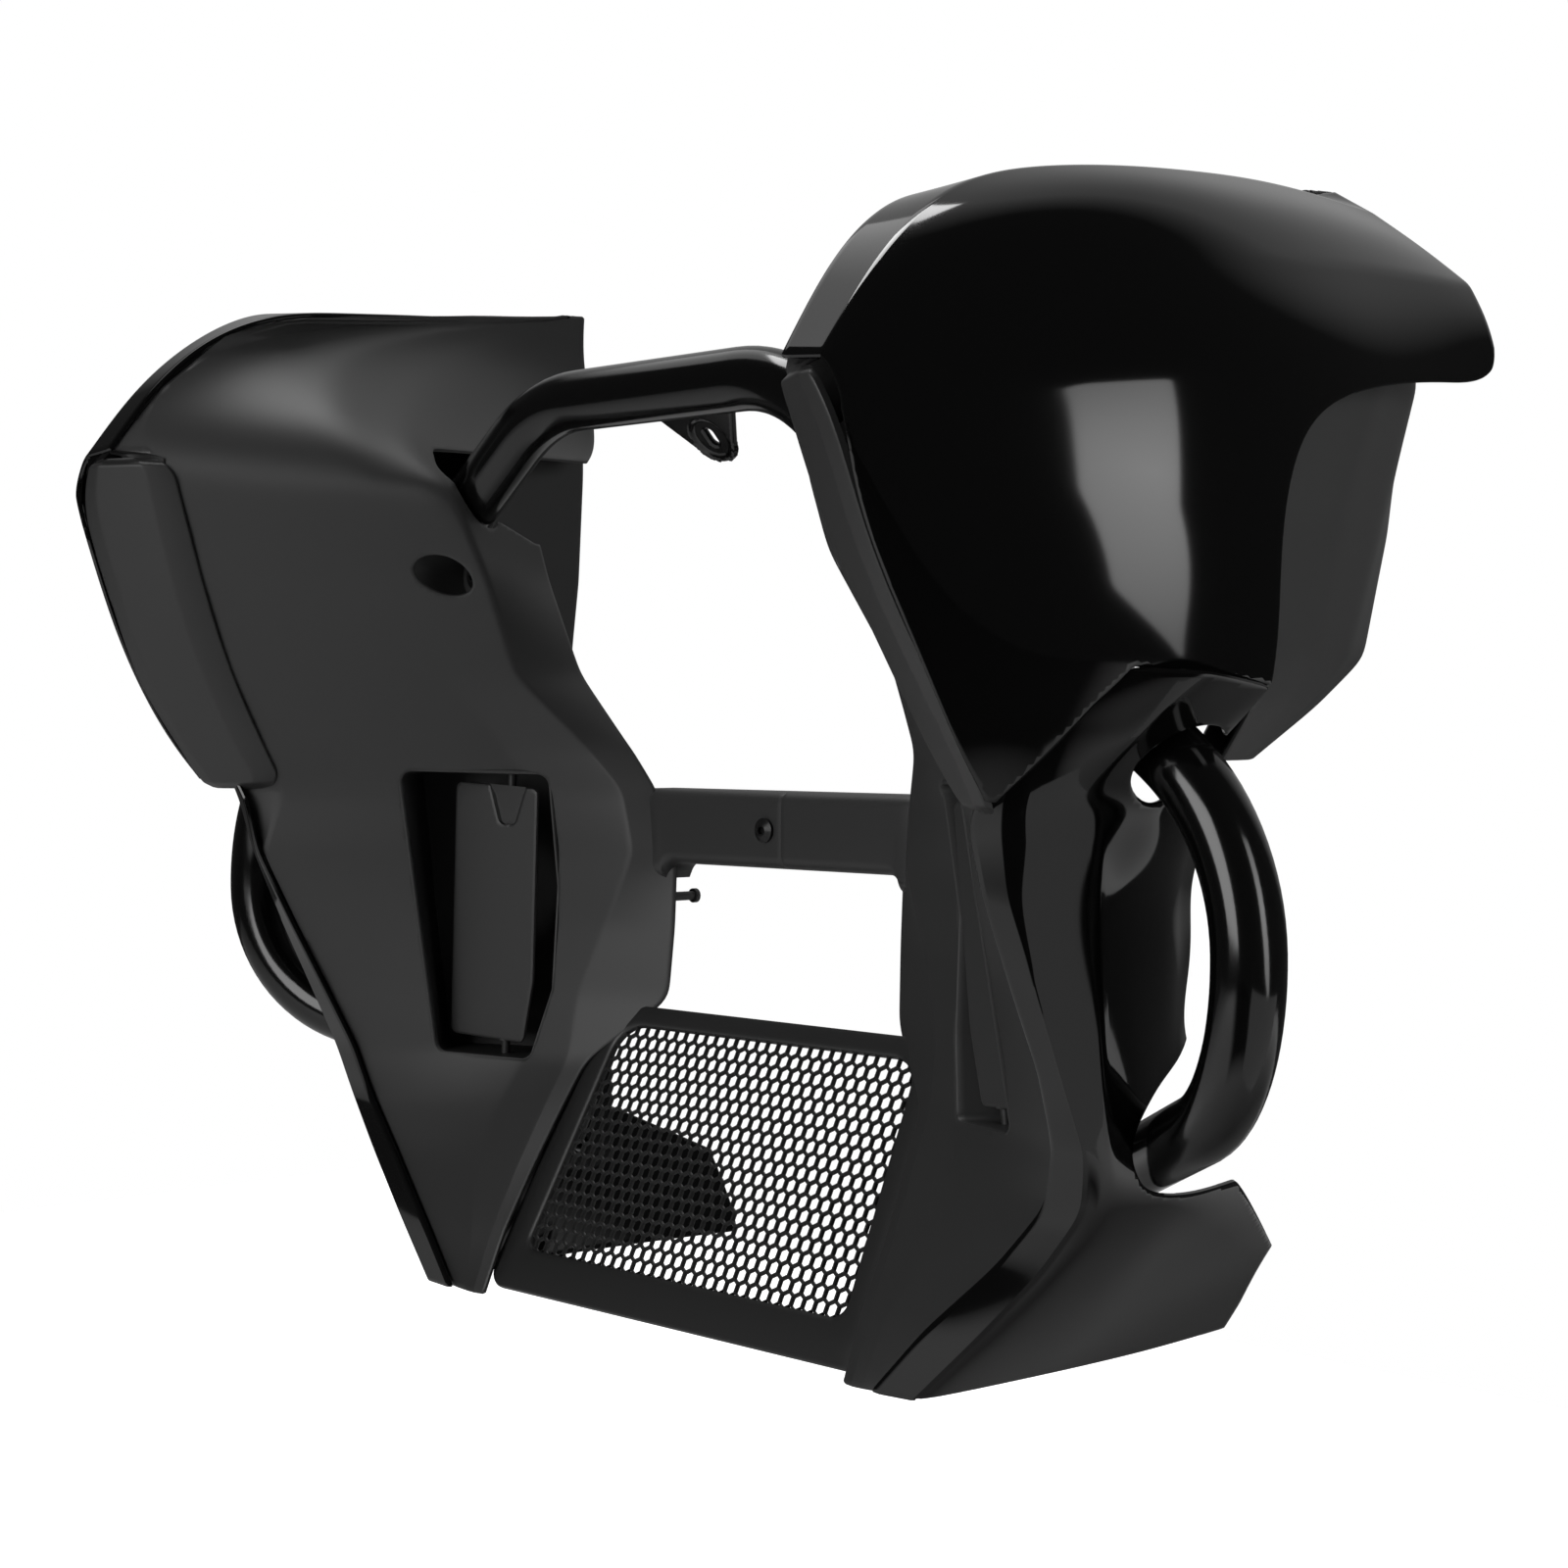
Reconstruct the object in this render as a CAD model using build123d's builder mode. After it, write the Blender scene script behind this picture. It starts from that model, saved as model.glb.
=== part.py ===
from build123d import *
import math
import os

# Lower fairing with engine guard for a touring motorcycle, in millimetres.
# +X points forward, +Y to the rider's left, +Z up. The origin is the centre of the
# bolt slot in the guard's top tab. Body lines are laid out from the crossbar joint,
# which lies behind and below that slot by the two datum distances.
datum_x = 50.0
datum_z = 180.0

# Walls and clearances
cap_wall = 3.0
cowl_wall = 3.0
panel_wall = 2.8
trim_wall = 4.0
cover_wall = 2.8
duct_wall = 2.4
seam_gap = 0.6
seat_gap = 0.3
flange_gap = 1.6

# Engine guard
tube_od = 31.75
tube_wall = 2.6
guard_x = 87.0
bar_z = 201.0
bar_half = 94.0
loop_y = 378.0
loop_top_z = -12.0
loop_low_z = -124.0
bar_bend = 90.0
loop_bend = 106.0
foot_bend = 80.0
foot_point = (-15.0, 200.0, -193.0)
foot_plate_wall = 8.0
foot_plate_width = 44.0
foot_plate_height = 70.0
foot_bore = 10.5
foot_bore_spacing = 40.0

# Top tab, measured up and down its own slope from the slot centre
tab_tilt = 42.8
tab_wall = 5.0
tab_half_width = 35.0
tab_top = 29.0
tab_tip_radius = 15.0
slot_width = 9.0
slot_length = 14.0
dish_diameter = 25.0
dish_depth = 1.5

# Crossbar arms
arm_front_x = 8.0
arm_depth = 22.0
arm_wall = 3.0
arm_top_z = -4.0
arm_low_z = -45.0
arm_root_y = 104.0
arm_lap_y = 6.0
arm_round = 7.0
tongue_end_y = -24.0
tongue_height = 26.0
tongue_wall = 6.0
screw_y = -6.0

# Fasteners
screw_shank = 6.0
screw_head = 13.0
screw_head_height = 3.4
screw_length = 16.0
screw_socket = 4.0
screw_hole = 6.6
nut_side = 10.0
nut_wall = 5.0

# Vent in the inner panel: the face's direction in plan, the outline as (run along the
# face, height), and the funnel behind it, as distances from the crossbar joint
vent_run = (0.69, 0.724)
vent_outline = [(141, 3), (225, 5), (207, -155), (153, -157), (140, -118), (137, -60)]
vent_corner = 6.0
funnel_front = -55.0
funnel_depth = 93.0
outlet_back = 2.0
outlet_depth = 25.0
outlet_top = -10.0
outlet_low = -110.0

# Vent flap on its two pins
hinge_top = (41.0, 183.0, 0.0)
hinge_low = (37.0, 195.0, -152.0)
flap_facing = (0.96, -0.28, 0.0)
flap_inner = 18.0
flap_foot = 12.0
flap_outer = 40.0
flap_height = 146.0
flap_wall = 3.0
flap_barrel = 9.0
notch_width = 18.0
notch_depth = 22.0
pin_diameter = 5.0
pin_gap = 0.06
pin_length = 9.0
boss_diameter = 12.0
boss_length = 12.0

# Chin grille
grille_top = (11.0, 0.0, -124.0)
grille_tilt = 26.9
grille_length = 169.0
grille_half_top = 126.0
grille_half_low = 138.0
grille_shoulder = 58.0
grille_corner = 24.0
grille_rim = 12.0
grille_chin = 24.0
grille_wall = 4.0
mesh_wall = 3.0
mesh_pitch = 17.0
mesh_web = 3.0
lug_drop = 65.0
lug_height = 18.0
lug_reach = 14.0
lug_wall = 4.2
lug_stand = 1.2

# Screw cup in the inner panel
cup_y = 153.0
cup_z = 112.0
cup_bore = 24.0
cup_wall = 2.5
cup_floor_x = 88.0

# Guard clamp
clamp_wall = 5.0
clamp_length = 24.0
clamp_plate = 4.0
clamp_y = 205.0
clamp_ear = 7.2

# Locating peg on the inner panel's rear edge
peg_y = 94.0
peg_z = -64.0
peg_diameter = 5.0
peg_length = 22.0
peg_head = 8.0

# Outer cap: ribs across the bike, front to back position to (y, z) points that run
# from the inner top edge over the crown and the outer bulge to the lower crease
cap_ribs = {
    -90: [(286, 285), (310, 271), (337, 252), (363, 232), (376, 204), (381, 150), (379, 95), (372, 46)],
    -20: [(273, 275), (305, 277), (338, 257), (363, 232), (379, 195), (385, 140), (382, 90), (373, 46)],
    50: [(263, 270), (311, 273), (340, 255), (362, 229), (382, 190), (390, 130), (386, 85), (376, 47)],
    113: [(254, 264), (303, 268), (332, 253), (352, 224), (372, 185), (379, 130), (374, 85), (366, 52)],
    150: [(250, 259), (286, 262), (318, 246), (340, 215), (358, 175), (363, 120), (352, 70), (322, 16)],
    165: [(253, 254), (287, 255), (312, 241), (332, 212), (350, 173), (355, 120), (344, 62), (302, -6)],
    180: [(256, 249), (288, 247), (307, 234), (325, 208), (342, 170), (346, 120), (335, 60), (308, 12)],
    210: [(262, 227), (290, 223), (304, 213), (320, 192), (334, 160), (332, 120), (322, 85), (310, 58)],
    234: [(265, 199), (291, 196), (300, 188), (311, 172), (317, 150), (315, 130), (311, 118), (306, 108)],
    247: [(267, 181), (291, 179), (295, 176), (299, 170), (302, 164), (302, 157), (301, 152), (298, 149)],
}

# Lower cowl: level sections, height to (x, y) points from the leading crease to the rear
cowl_sections = {
    62: [(136, 360), (130, 368), (112, 383), (90, 388), (60, 388), (35, 384), (10, 378)],
    44: [(146, 326), (140, 344), (118, 364), (90, 370), (60, 370), (35, 366), (10, 360)],
    24: [(152, 312), (143, 328), (121, 344), (92, 350), (60, 346), (32, 336), (5, 322)],
    0: [(156, 299), (148, 313), (118, 325.5), (90, 328), (58, 321), (26, 307), (-4, 288)],
    -40: [(147, 287), (143, 302), (103, 312), (85, 311), (50, 302), (20, 287), (-6, 272)],
    -80: [(127, 284), (126, 300), (95, 306.5), (76, 305), (44, 297), (18, 284), (-6, 270)],
    -120: [(106, 279), (106, 295), (87, 300), (67, 299), (41, 292), (18, 283), (-6, 272)],
    -155: [(90, 273), (89, 290), (76, 294), (55, 293), (30, 288), (-10, 278), (-66, 263)],
    -182: [(85, 264), (83, 283), (70, 288), (44, 288), (10, 283), (-56, 265), (-130, 243)],
    -212: [(87, 236), (85, 259), (72, 266), (40, 268), (0, 262), (-64, 248), (-136, 231)],
    -246: [(94, 198), (90, 225), (75, 232), (40, 235), (0, 232), (-62, 222), (-136, 209)],
    -263: [(96, 182), (92.5, 207), (78, 213), (40, 216), (0, 215), (-61, 209), (-135, 199)],
    -280: [(98, 166), (95, 189), (80, 194), (40, 196), (0, 197), (-60, 196), (-132, 189)],
}

# Side view of the cap's and the cowl's edges, (x, z): the crease where they meet, the
# visor's rear edge, the scallop round the guard's lower run and the mouth at its upper
crease = [(170, -10), (155, 20), (145, 39), (134, 55), (110, 53), (52, 46), (-20, 44)]
visor_edge = [(-92, 204), (-87, 192), (-76, 186.5), (-50, 183), (13, 175), (61, 153), (75, 108)]
visor_edge += [(67, 52), (66, 30)]
visor_waste = [(66, 10), (-110, 10), (-110, 204)]
scallop_edge = [(-8, -112), (14, -120), (48, -136), (60, -154), (50, -172), (30, -179), (-44, -183)]
scallop_waste = [(-136, -232), (-190, -232), (-190, -112)]
mouth_edge = [(-20, -26), (18, -20), (44, -8), (66, 6), (72, 22), (68, 40), (68, 60)]
mouth_waste = [(68, 80), (-20, 80)]
guard_slot_gap = 8.0

# Trim strip on the leading edge: height to its inner and outer edge, (x, y), and the
# rise of its face above them with the bevels' shares of its width
trim_rise = 2.5
trim_bevel_in = 0.26
trim_bevel_out = 0.16
trim_edges = {
    177: [(228, 242), (250, 282)],
    163: [(223, 243), (249, 291)],
    113: [(205, 248), (234, 300)],
    60: [(180, 257), (208, 304)],
    18: [(156, 262), (178, 301)],
    -5: [(140, 267), (160, 296)],
}

# Inner panel above the trim: height to (x, y) of hidden flange, front edge, bend, ridge
# and rear edge
panel_top = {
    270: [(0, 279), (-8, 277), (-35, 279), (-60, 283), (-91, 288)],
    258: [(120, 272), (112, 258), (60, 264), (0, 273), (-92, 287)],
    246: [(174, 271), (179, 252), (100, 254), (20, 263), (-94, 286)],
    215: [(208, 281), (214, 260), (140, 214), (80, 212), (-102, 286)],
    190: [(229, 284), (234, 262), (155, 188), (110, 175), (-106, 286)],
}

# Inner panel beside the trim and the cowl: height to (x, y) of bend, ridge and rear edge
panel_low = {
    177: [(151, 180), (114, 157), (-30, 228)],
    163: [(146, 168), (118, 138), (45, 165)],
    113: [(121, 163), (95, 135), (28, 166)],
    60: [(95, 177), (66, 147), (20, 148)],
    18: [(56, 168), (31, 128), (13, 113)],
    -5: [(40, 163), (19, 113), (6, 100)],
    -40: [(31, 160), (15.9, 107.5), (0, 89.5)],
    -80: [(30, 160), (20.2, 125.2), (2, 89.5)],
    -120: [(35, 163), (27.9, 139.9), (5, 91.5)],
    -155: [(42, 170), (34, 142), (30, 132)],
    -182: [(56, 177), (49, 145), (45, 136)],
    -212: [(71, 178), (64.5, 148), (61, 140)],
    -246: [(84.5, 163), (81.5, 149), (79.5, 142)],
    -280: [(94.5, 156), (94.8, 149.5), (93.5, 143)],
}
flange_share = {177: 0.9, 163: 0.9, 113: 0.9, 60: 0.9, 18: 0.8, -5: 0.4}

# Side view of the panel's notch for the guard, (x, z)
notch_edge = [(-130, 133), (38, 133), (72, 143), (98, 154), (112, 170), (104, 182), (-130, 195)]

# Rear cover: level sections of the box, height to (x, y) points from its front outer
# edge round the back to its front inner edge
cover_sections = {
    215: [(20, 360), (-30, 357), (-68, 344), (-92, 318), (-100, 291.6), (-60, 288.8), (-20, 288.8)],
    186: [(40, 370), (-20, 366), (-68, 352), (-96, 322), (-100, 291.6), (-60, 288.8), (-20, 288.8)],
    120: [(70, 372), (10, 366), (-42, 350), (-84, 324), (-97, 292), (-60, 289), (0, 289)],
    62: [(62, 366), (16, 358), (-24, 346), (-66, 324), (-90, 292), (-60, 289), (0, 289)],
    40: [(58, 358), (28, 351), (2, 343), (-16, 335), (-24, 316), (-10, 304), (10, 300)],
    16: [(54, 338), (40, 335), (28, 331), (20, 326), (17, 317), (24, 310), (36, 306)],
}


def body(x, y, z):
    """A point laid out from the crossbar joint, in the part's own frame."""
    return (x - datum_x, y, z - datum_z)


def level(z):
    return Plane.XY.offset(z - datum_z)


def plan(points):
    return [(x - datum_x, y) for x, y in points]


def side(points):
    return [(x - datum_x, z - datum_z) for x, z in points]


def inset(points, wall):
    """Points moved sideways by the wall, to the left of the direction of travel."""
    moved = []
    for i, point in enumerate(points):
        here = Vector(*point)
        before = (here - Vector(*points[i - 1])).normalized() if i else None
        after = (Vector(*points[i + 1]) - here).normalized() if i + 1 < len(points) else None
        before, after = before or after, after or before
        across = Vector(-before.Y - after.Y, before.X + after.X).normalized()
        share = wall / across.dot(Vector(-after.Y, after.X))
        moved.append(tuple(here + across * share)[:2])
    return moved


def wall_section(plane, points, wall, curve):
    """A thin wall's cross-section: a line through the points, thickened to one side."""
    inner = inset(points, wall)
    with BuildSketch(plane) as section:
        with BuildLine():
            curve(*points)
            Line(points[-1], inner[-1])
            curve(*reversed(inner))
            Line(inner[0], points[0])
        make_face()
    return section.sketch


def panel_points(z):
    """The inner panel's section, seated behind the trim strip or behind the cowl's edge."""
    if z in panel_top:
        return panel_top[z]
    if z in trim_edges:
        front, edge = inset(trim_edges[z], trim_wall + seat_gap)
    else:
        front, edge = inset(cowl_sections[z][:2], cowl_wall + flange_gap)
    reach = (Vector(*edge) - Vector(*front)) * flange_share.get(z, 0.55)
    return [tuple(Vector(*front) + reach)[:2], front] + panel_low[z]


def trim_points(z):
    """The trim strip's section: a raised face between two bevels."""
    inner, outer = [Vector(*p) for p in plan(trim_edges[z])]
    across = outer - inner
    rise = Vector(across.Y, -across.X).normalized() * trim_rise
    face = [inner + across * share + rise for share in (trim_bevel_in, 1 - trim_bevel_out)]
    return [tuple(p)[:2] for p in (inner, *face, outer)]


def ahead_of_panel(z):
    """The space in front of the panel's face at one height, to trim what stands proud."""
    front, bend, ridge = plan(panel_points(z))[1:4]
    reach = Vector(vent_run[1], -vent_run[0]) * loop_y
    far = [tuple(Vector(*p) + reach)[:2] for p in (ridge, front)]
    with BuildSketch(level(z)) as section:
        with BuildLine():
            Polyline(front, bend, ridge, *far, close=True)
        make_face()
    return section.sketch


# Engine guard: one bent tube from foot to foot
guard_turns = [
    Vector(guard_x, bar_half, bar_z),
    Vector(guard_x, loop_y, loop_top_z),
    Vector(guard_x, loop_y, loop_low_z),
]
foot = Vector(*foot_point)
last_run = (foot - guard_turns[-1]).normalized()
half_path = guard_turns + [foot + last_run * tube_od]
guard_points = [body(p.X, -p.Y, p.Z) for p in reversed(half_path)]
guard_points += [body(p.X, p.Y, p.Z) for p in half_path]
guard_radii = [foot_bend, loop_bend, bar_bend, bar_bend, loop_bend, foot_bend]

with BuildPart() as guard_tube:
    with BuildLine() as guard_line:
        FilletPolyline(*guard_points, radius=guard_radii)
    with BuildSketch(Plane(guard_line.line @ 0, z_dir=guard_line.line % 0)):
        Circle(tube_od / 2)
        Circle(tube_od / 2 - tube_wall, mode=Mode.SUBTRACT)
    sweep()
    with Locations(body(foot.X, 0, foot.Z)):
        Box(6 * tube_od, 2 * foot.Y, 4 * tube_od, mode=Mode.SUBTRACT)

# Foot plates that close the tube's ends, with the lower frame bolts
with BuildPart() as foot_plate_left:
    with BuildSketch(Plane.XZ.offset(-foot.Y)):
        with Locations((foot.X - datum_x, foot.Z - datum_z)):
            RectangleRounded(foot_plate_width, foot_plate_height, foot_plate_width / 4)
            with GridLocations(0, foot_bore_spacing, 1, 2):
                Circle(foot_bore / 2, mode=Mode.SUBTRACT)
    extrude(amount=foot_plate_wall)

# Top tab, welded under the bar, with a dished slot for the upper frame bolt
slope = math.radians(tab_tilt)
tab_plane = Plane((0, 0, 0), x_dir=(0, 1, 0), z_dir=(math.cos(slope), 0, -math.sin(slope)))
bar_axis = Plane(body(guard_x, 0, bar_z), z_dir=(0, 1, 0))

with BuildPart() as top_tab:
    with BuildSketch(tab_plane):
        Circle(tab_tip_radius)
        with Locations((0, tab_top)):
            Rectangle(2 * tab_half_width, 2 * tab_wall)
        make_hull()
        SlotOverall(slot_length, slot_width, rotation=90, mode=Mode.SUBTRACT)
    extrude(amount=tab_wall / 2, both=True)
    with BuildSketch(tab_plane.offset(tab_wall / 2)):
        Circle(dish_diameter / 2)
    extrude(amount=-dish_depth, mode=Mode.SUBTRACT)
    with BuildSketch(bar_axis):
        Circle(tube_od / 2)
    extrude(amount=bar_half, both=True, mode=Mode.SUBTRACT)

# Outer cap: one skin through the ribs, cut back under the visor
cap_skin = Face.make_surface_from_array_of_points(
    [[body(x, y, z) for y, z in rib] for x, rib in cap_ribs.items()], tol=0.4
)
with BuildPart() as outer_cap_left:
    thicken(cap_skin, amount=-cap_wall)
    with BuildSketch(Plane.XZ):
        with BuildLine():
            rear = Spline(*side(visor_edge))
            Polyline(rear @ 1, *side(visor_waste), rear @ 0)
        make_face()
        with BuildLine():
            Polyline(*side(crease + [(-20, -40), (170, -40)]), close=True)
        make_face()
    extrude(amount=-2 * loop_y, mode=Mode.SUBTRACT)

# Lower cowl: lofted level sections, trimmed below the crease, with a mouth and a
# scallop where the guard goes through
upper_run = Plane(body(*guard_turns[0]), z_dir=guard_turns[1] - guard_turns[0])
upper_length = (guard_turns[1] - guard_turns[0]).length

with BuildPart() as lower_cowl_left:
    loft([
        wall_section(level(z), plan(points), cowl_wall, Spline)
        for z, points in cowl_sections.items()
    ])
    with BuildSketch(Plane.XZ):
        with BuildLine():
            top = Polyline(*side([(x, z - seam_gap) for x, z in crease]))
            Polyline(top @ 1, *side([(-20, 90), (170, 90)]), top @ 0)
        make_face()
        with BuildLine():
            scallop = Spline(*side(scallop_edge))
            Polyline(scallop @ 1, *side(scallop_waste), scallop @ 0)
        make_face()
        with BuildLine():
            mouth = Spline(*side(mouth_edge))
            Polyline(mouth @ 1, *side(mouth_waste), mouth @ 0)
        make_face()
    extrude(amount=-2 * loop_y, mode=Mode.SUBTRACT)
    with BuildSketch(upper_run):
        Circle(tube_od / 2 + guard_slot_gap)
    extrude(amount=upper_length, mode=Mode.SUBTRACT)

# Leading edge trim
with BuildPart() as edge_trim_left:
    loft([
        wall_section(level(z), trim_points(z), trim_wall, Polyline)
        for z in trim_edges
    ], ruled=True)

# Rear cover
with BuildPart() as rear_cover_left:
    loft([
        wall_section(level(z), plan(points), -cover_wall, Polyline)
        for z, points in cover_sections.items()
    ], ruled=True)

# Inner panel: the vented face with its funnel, hinge bosses, screw cup and peg
vent_plane = Plane(
    body(0, 0, 0), x_dir=(vent_run[0], vent_run[1], 0), z_dir=(vent_run[1], -vent_run[0], 0)
)
hinge_axis = (Vector(*hinge_top) - Vector(*hinge_low)).normalized()
hinge_middle = (Vector(*hinge_top) + Vector(*hinge_low)) / 2
flap_plane = Plane(
    body(*hinge_middle), x_dir=hinge_axis.cross(Vector(*flap_facing)),
    z_dir=hinge_axis.cross(Vector(*flap_facing)).cross(hinge_axis),
)
hinge_plane = Plane(body(*hinge_middle), z_dir=hinge_axis)
hinge_half = (Vector(*hinge_top) - Vector(*hinge_low)).length / 2
vent_side = vent_outline[-1][0]
outlet_inner = vent_side - 2 * vent_corner
outlet_outer = vent_side + 2 * vent_corner
outlet = [
    (outlet_inner, outlet_low),
    (outlet_outer, outlet_low),
    (outlet_outer, outlet_top),
    (outlet_inner, outlet_top),
]
cup_plane = Plane.YZ.offset(cup_floor_x - datum_x)
cup_centre = (cup_y, cup_z - datum_z)

with BuildPart() as proud_parts:
    with BuildSketch(vent_plane.offset(funnel_front)):
        with BuildLine():
            FilletPolyline(*vent_outline, radius=vent_corner, close=True)
        make_face()
        offset(amount=duct_wall)
    extrude(amount=-funnel_depth - duct_wall)
    with BuildSketch(cup_plane.offset(-cup_wall)):
        with Locations(cup_centre):
            Circle(cup_bore / 2 + cup_wall)
    extrude(amount=2 * cup_bore)
    loft([ahead_of_panel(z) for z in panel_low], ruled=True, mode=Mode.SUBTRACT)

with BuildPart() as bare_panel_left:
    loft([
        wall_section(level(z), plan(panel_points(z)), -panel_wall, Polyline)
        for z in list(panel_top) + list(panel_low)
    ], ruled=True)
    add(proud_parts.part)
    with BuildSketch(hinge_plane.offset(hinge_half), hinge_plane.offset(-hinge_half - boss_length)):
        Circle(boss_diameter / 2)
    extrude(amount=boss_length)
    with BuildSketch(Plane.YZ.offset(arm_front_x - arm_wall - datum_x)):
        with Locations((peg_y, peg_z - datum_z)):
            Circle(peg_diameter / 2)
    extrude(amount=-peg_length)
    with BuildSketch(Plane.YZ.offset(arm_front_x - arm_wall - peg_length - datum_x)):
        with Locations((peg_y, peg_z - datum_z)):
            Circle(peg_head / 2)
    extrude(amount=-peg_diameter / 2)
    with BuildSketch(vent_plane.offset(funnel_front)):
        with BuildLine():
            FilletPolyline(*vent_outline, radius=vent_corner, close=True)
        make_face()
    extrude(amount=-funnel_depth, mode=Mode.SUBTRACT)
    with BuildSketch(vent_plane.offset(funnel_front - funnel_depth + outlet_back)):
        with BuildLine():
            Polyline(*outlet, close=True)
        make_face()
    extrude(amount=outlet_depth, mode=Mode.SUBTRACT)
    with BuildSketch(hinge_plane):
        Circle(pin_diameter / 2 + pin_gap)
    extrude(amount=hinge_half + boss_length, both=True, mode=Mode.SUBTRACT)
    with BuildSketch(cup_plane):
        with Locations(cup_centre):
            Circle(cup_bore / 2)
    extrude(amount=2 * cup_bore, mode=Mode.SUBTRACT)
    with BuildSketch(cup_plane):
        with Locations(cup_centre):
            Circle(screw_hole / 2)
    extrude(amount=-2 * cup_wall, mode=Mode.SUBTRACT)
    with BuildSketch(Plane.XZ):
        with BuildLine():
            FilletPolyline(*side(notch_edge), radius=6, close=True)
        make_face()
    extrude(amount=-2 * loop_y, mode=Mode.SUBTRACT)
    with BuildSketch(upper_run):
        Circle(tube_od / 2 + guard_slot_gap / 2)
    extrude(amount=upper_length, mode=Mode.SUBTRACT)

# Crossbar arms: channels open to the rear, the right one lapping over a tongue
arm_height = arm_top_z - arm_low_z
arm_middle_z = (arm_top_z + arm_low_z) / 2 - datum_z


def arm_channel(start_y):
    """The arm from the lap to the root, as a channel with rounded front corners."""
    with BuildPart() as channel:
        with BuildSketch(Plane.XZ.offset(-start_y)):
            with Locations((arm_front_x - arm_depth / 2 - datum_x, arm_middle_z)):
                rim = Rectangle(arm_depth, arm_height)
            fillet(rim.vertices().group_by(Axis.X)[-1], arm_round)
        extrude(amount=start_y - arm_root_y)
        with BuildSketch(Plane.XZ.offset(-start_y)):
            with Locations((arm_front_x - arm_wall - arm_depth / 2 - datum_x, arm_middle_z)):
                hollow = Rectangle(arm_depth, arm_height - 2 * arm_wall)
            fillet(hollow.vertices().group_by(Axis.X)[-1], arm_round - arm_wall)
        extrude(amount=start_y - arm_root_y, mode=Mode.SUBTRACT)
    return channel.part


screw_plane = Plane.YZ.offset(arm_front_x - datum_x)
screw_centre = (screw_y, arm_middle_z)
tongue_front_x = arm_front_x - arm_wall - seat_gap

with BuildPart() as inner_panel_left:
    add(bare_panel_left.part)
    add(arm_channel(arm_lap_y + seat_gap))
    with BuildSketch(Plane.XZ.offset(-arm_lap_y - seat_gap)):
        with Locations((arm_front_x - arm_depth / 2 - datum_x, arm_middle_z)):
            Rectangle(arm_depth - 2 * arm_wall, arm_height - arm_wall)
    extrude(amount=-arm_wall)
    with BuildSketch(Plane.YZ.offset(tongue_front_x - datum_x)):
        with Locations(((tongue_end_y + arm_lap_y) / 2 + arm_wall / 2, arm_middle_z)):
            Rectangle(arm_lap_y - tongue_end_y + arm_wall, tongue_height)
        with Locations(screw_centre):
            Circle(screw_hole / 2, mode=Mode.SUBTRACT)
    extrude(amount=-tongue_wall)

with BuildPart() as inner_panel_right:
    mirror(bare_panel_left.part, about=Plane.XZ)
    mirror(arm_channel(-arm_lap_y), about=Plane.XZ)
    with BuildSketch(screw_plane):
        with Locations(screw_centre):
            Circle(screw_hole / 2)
    extrude(amount=-2 * arm_wall, mode=Mode.SUBTRACT)


# Button screws with a hex socket, heads facing forward, and the square nuts behind them
def button_screw(plane, centre):
    """A screw whose head sits on the plane at the given place."""
    with BuildPart() as screw:
        with BuildSketch(plane):
            with Locations(centre):
                Circle(screw_shank / 2)
        extrude(amount=-screw_length)
        with BuildSketch(plane):
            with Locations(centre):
                Circle(screw_head / 2)
        extrude(amount=screw_head_height)
        rim = screw.edges().filter_by(GeomType.CIRCLE).group_by(Axis.X)[-1]
        chamfer(rim, length=screw_head_height / 2, length2=screw_head_height)
        with BuildSketch(plane.offset(screw_head_height)):
            with Locations(centre):
                RegularPolygon(screw_socket / 2, 6, major_radius=False)
        extrude(amount=-screw_head_height * 0.6, mode=Mode.SUBTRACT)
    return screw.part


def square_nut(plane, centre):
    """A nut whose front face lies on the plane."""
    with BuildPart() as nut:
        with BuildSketch(plane):
            with Locations(centre):
                Rectangle(nut_side, nut_side)
                Circle(screw_shank / 2 + pin_gap, mode=Mode.SUBTRACT)
        extrude(amount=-nut_wall)
    return nut.part


clamp_back = cup_plane.offset(-cup_wall - seat_gap - clamp_plate)
mirrored_centre = (-cup_centre[0], cup_centre[1])

with BuildPart() as bar_screw:
    add(button_screw(screw_plane, screw_centre))

with BuildPart() as bar_nut:
    add(square_nut(Plane.YZ.offset(tongue_front_x - tongue_wall - datum_x), screw_centre))

with BuildPart() as cup_screws:
    add(button_screw(cup_plane, cup_centre))
    add(button_screw(cup_plane, mirrored_centre))

with BuildPart() as clamp_nuts:
    add(square_nut(clamp_back, cup_centre))
    add(square_nut(clamp_back, mirrored_centre))

# Guard clamp: a ring on the tube with an ear that the cup's screw pulls up
clamp_along = (clamp_y - bar_half) / (loop_y - bar_half) * upper_length
clamp_z = bar_z + (loop_top_z - bar_z) * (clamp_y - bar_half) / (loop_y - bar_half)

with BuildPart() as guard_clamp_left:
    with BuildSketch(upper_run.offset(clamp_along)):
        Circle(tube_od / 2 + seat_gap + clamp_wall)
    extrude(amount=clamp_length / 2, both=True)
    with BuildSketch(clamp_back):
        with Locations(cup_centre):
            Circle(clamp_ear)
        with Locations((clamp_y, clamp_z - datum_z)):
            Circle(clamp_length / 2)
        make_hull()
        with Locations(cup_centre):
            Circle(screw_hole / 2, mode=Mode.SUBTRACT)
    extrude(amount=clamp_plate)
    with BuildSketch(upper_run):
        Circle(tube_od / 2 + seat_gap)
    extrude(amount=upper_length, mode=Mode.SUBTRACT)

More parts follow.
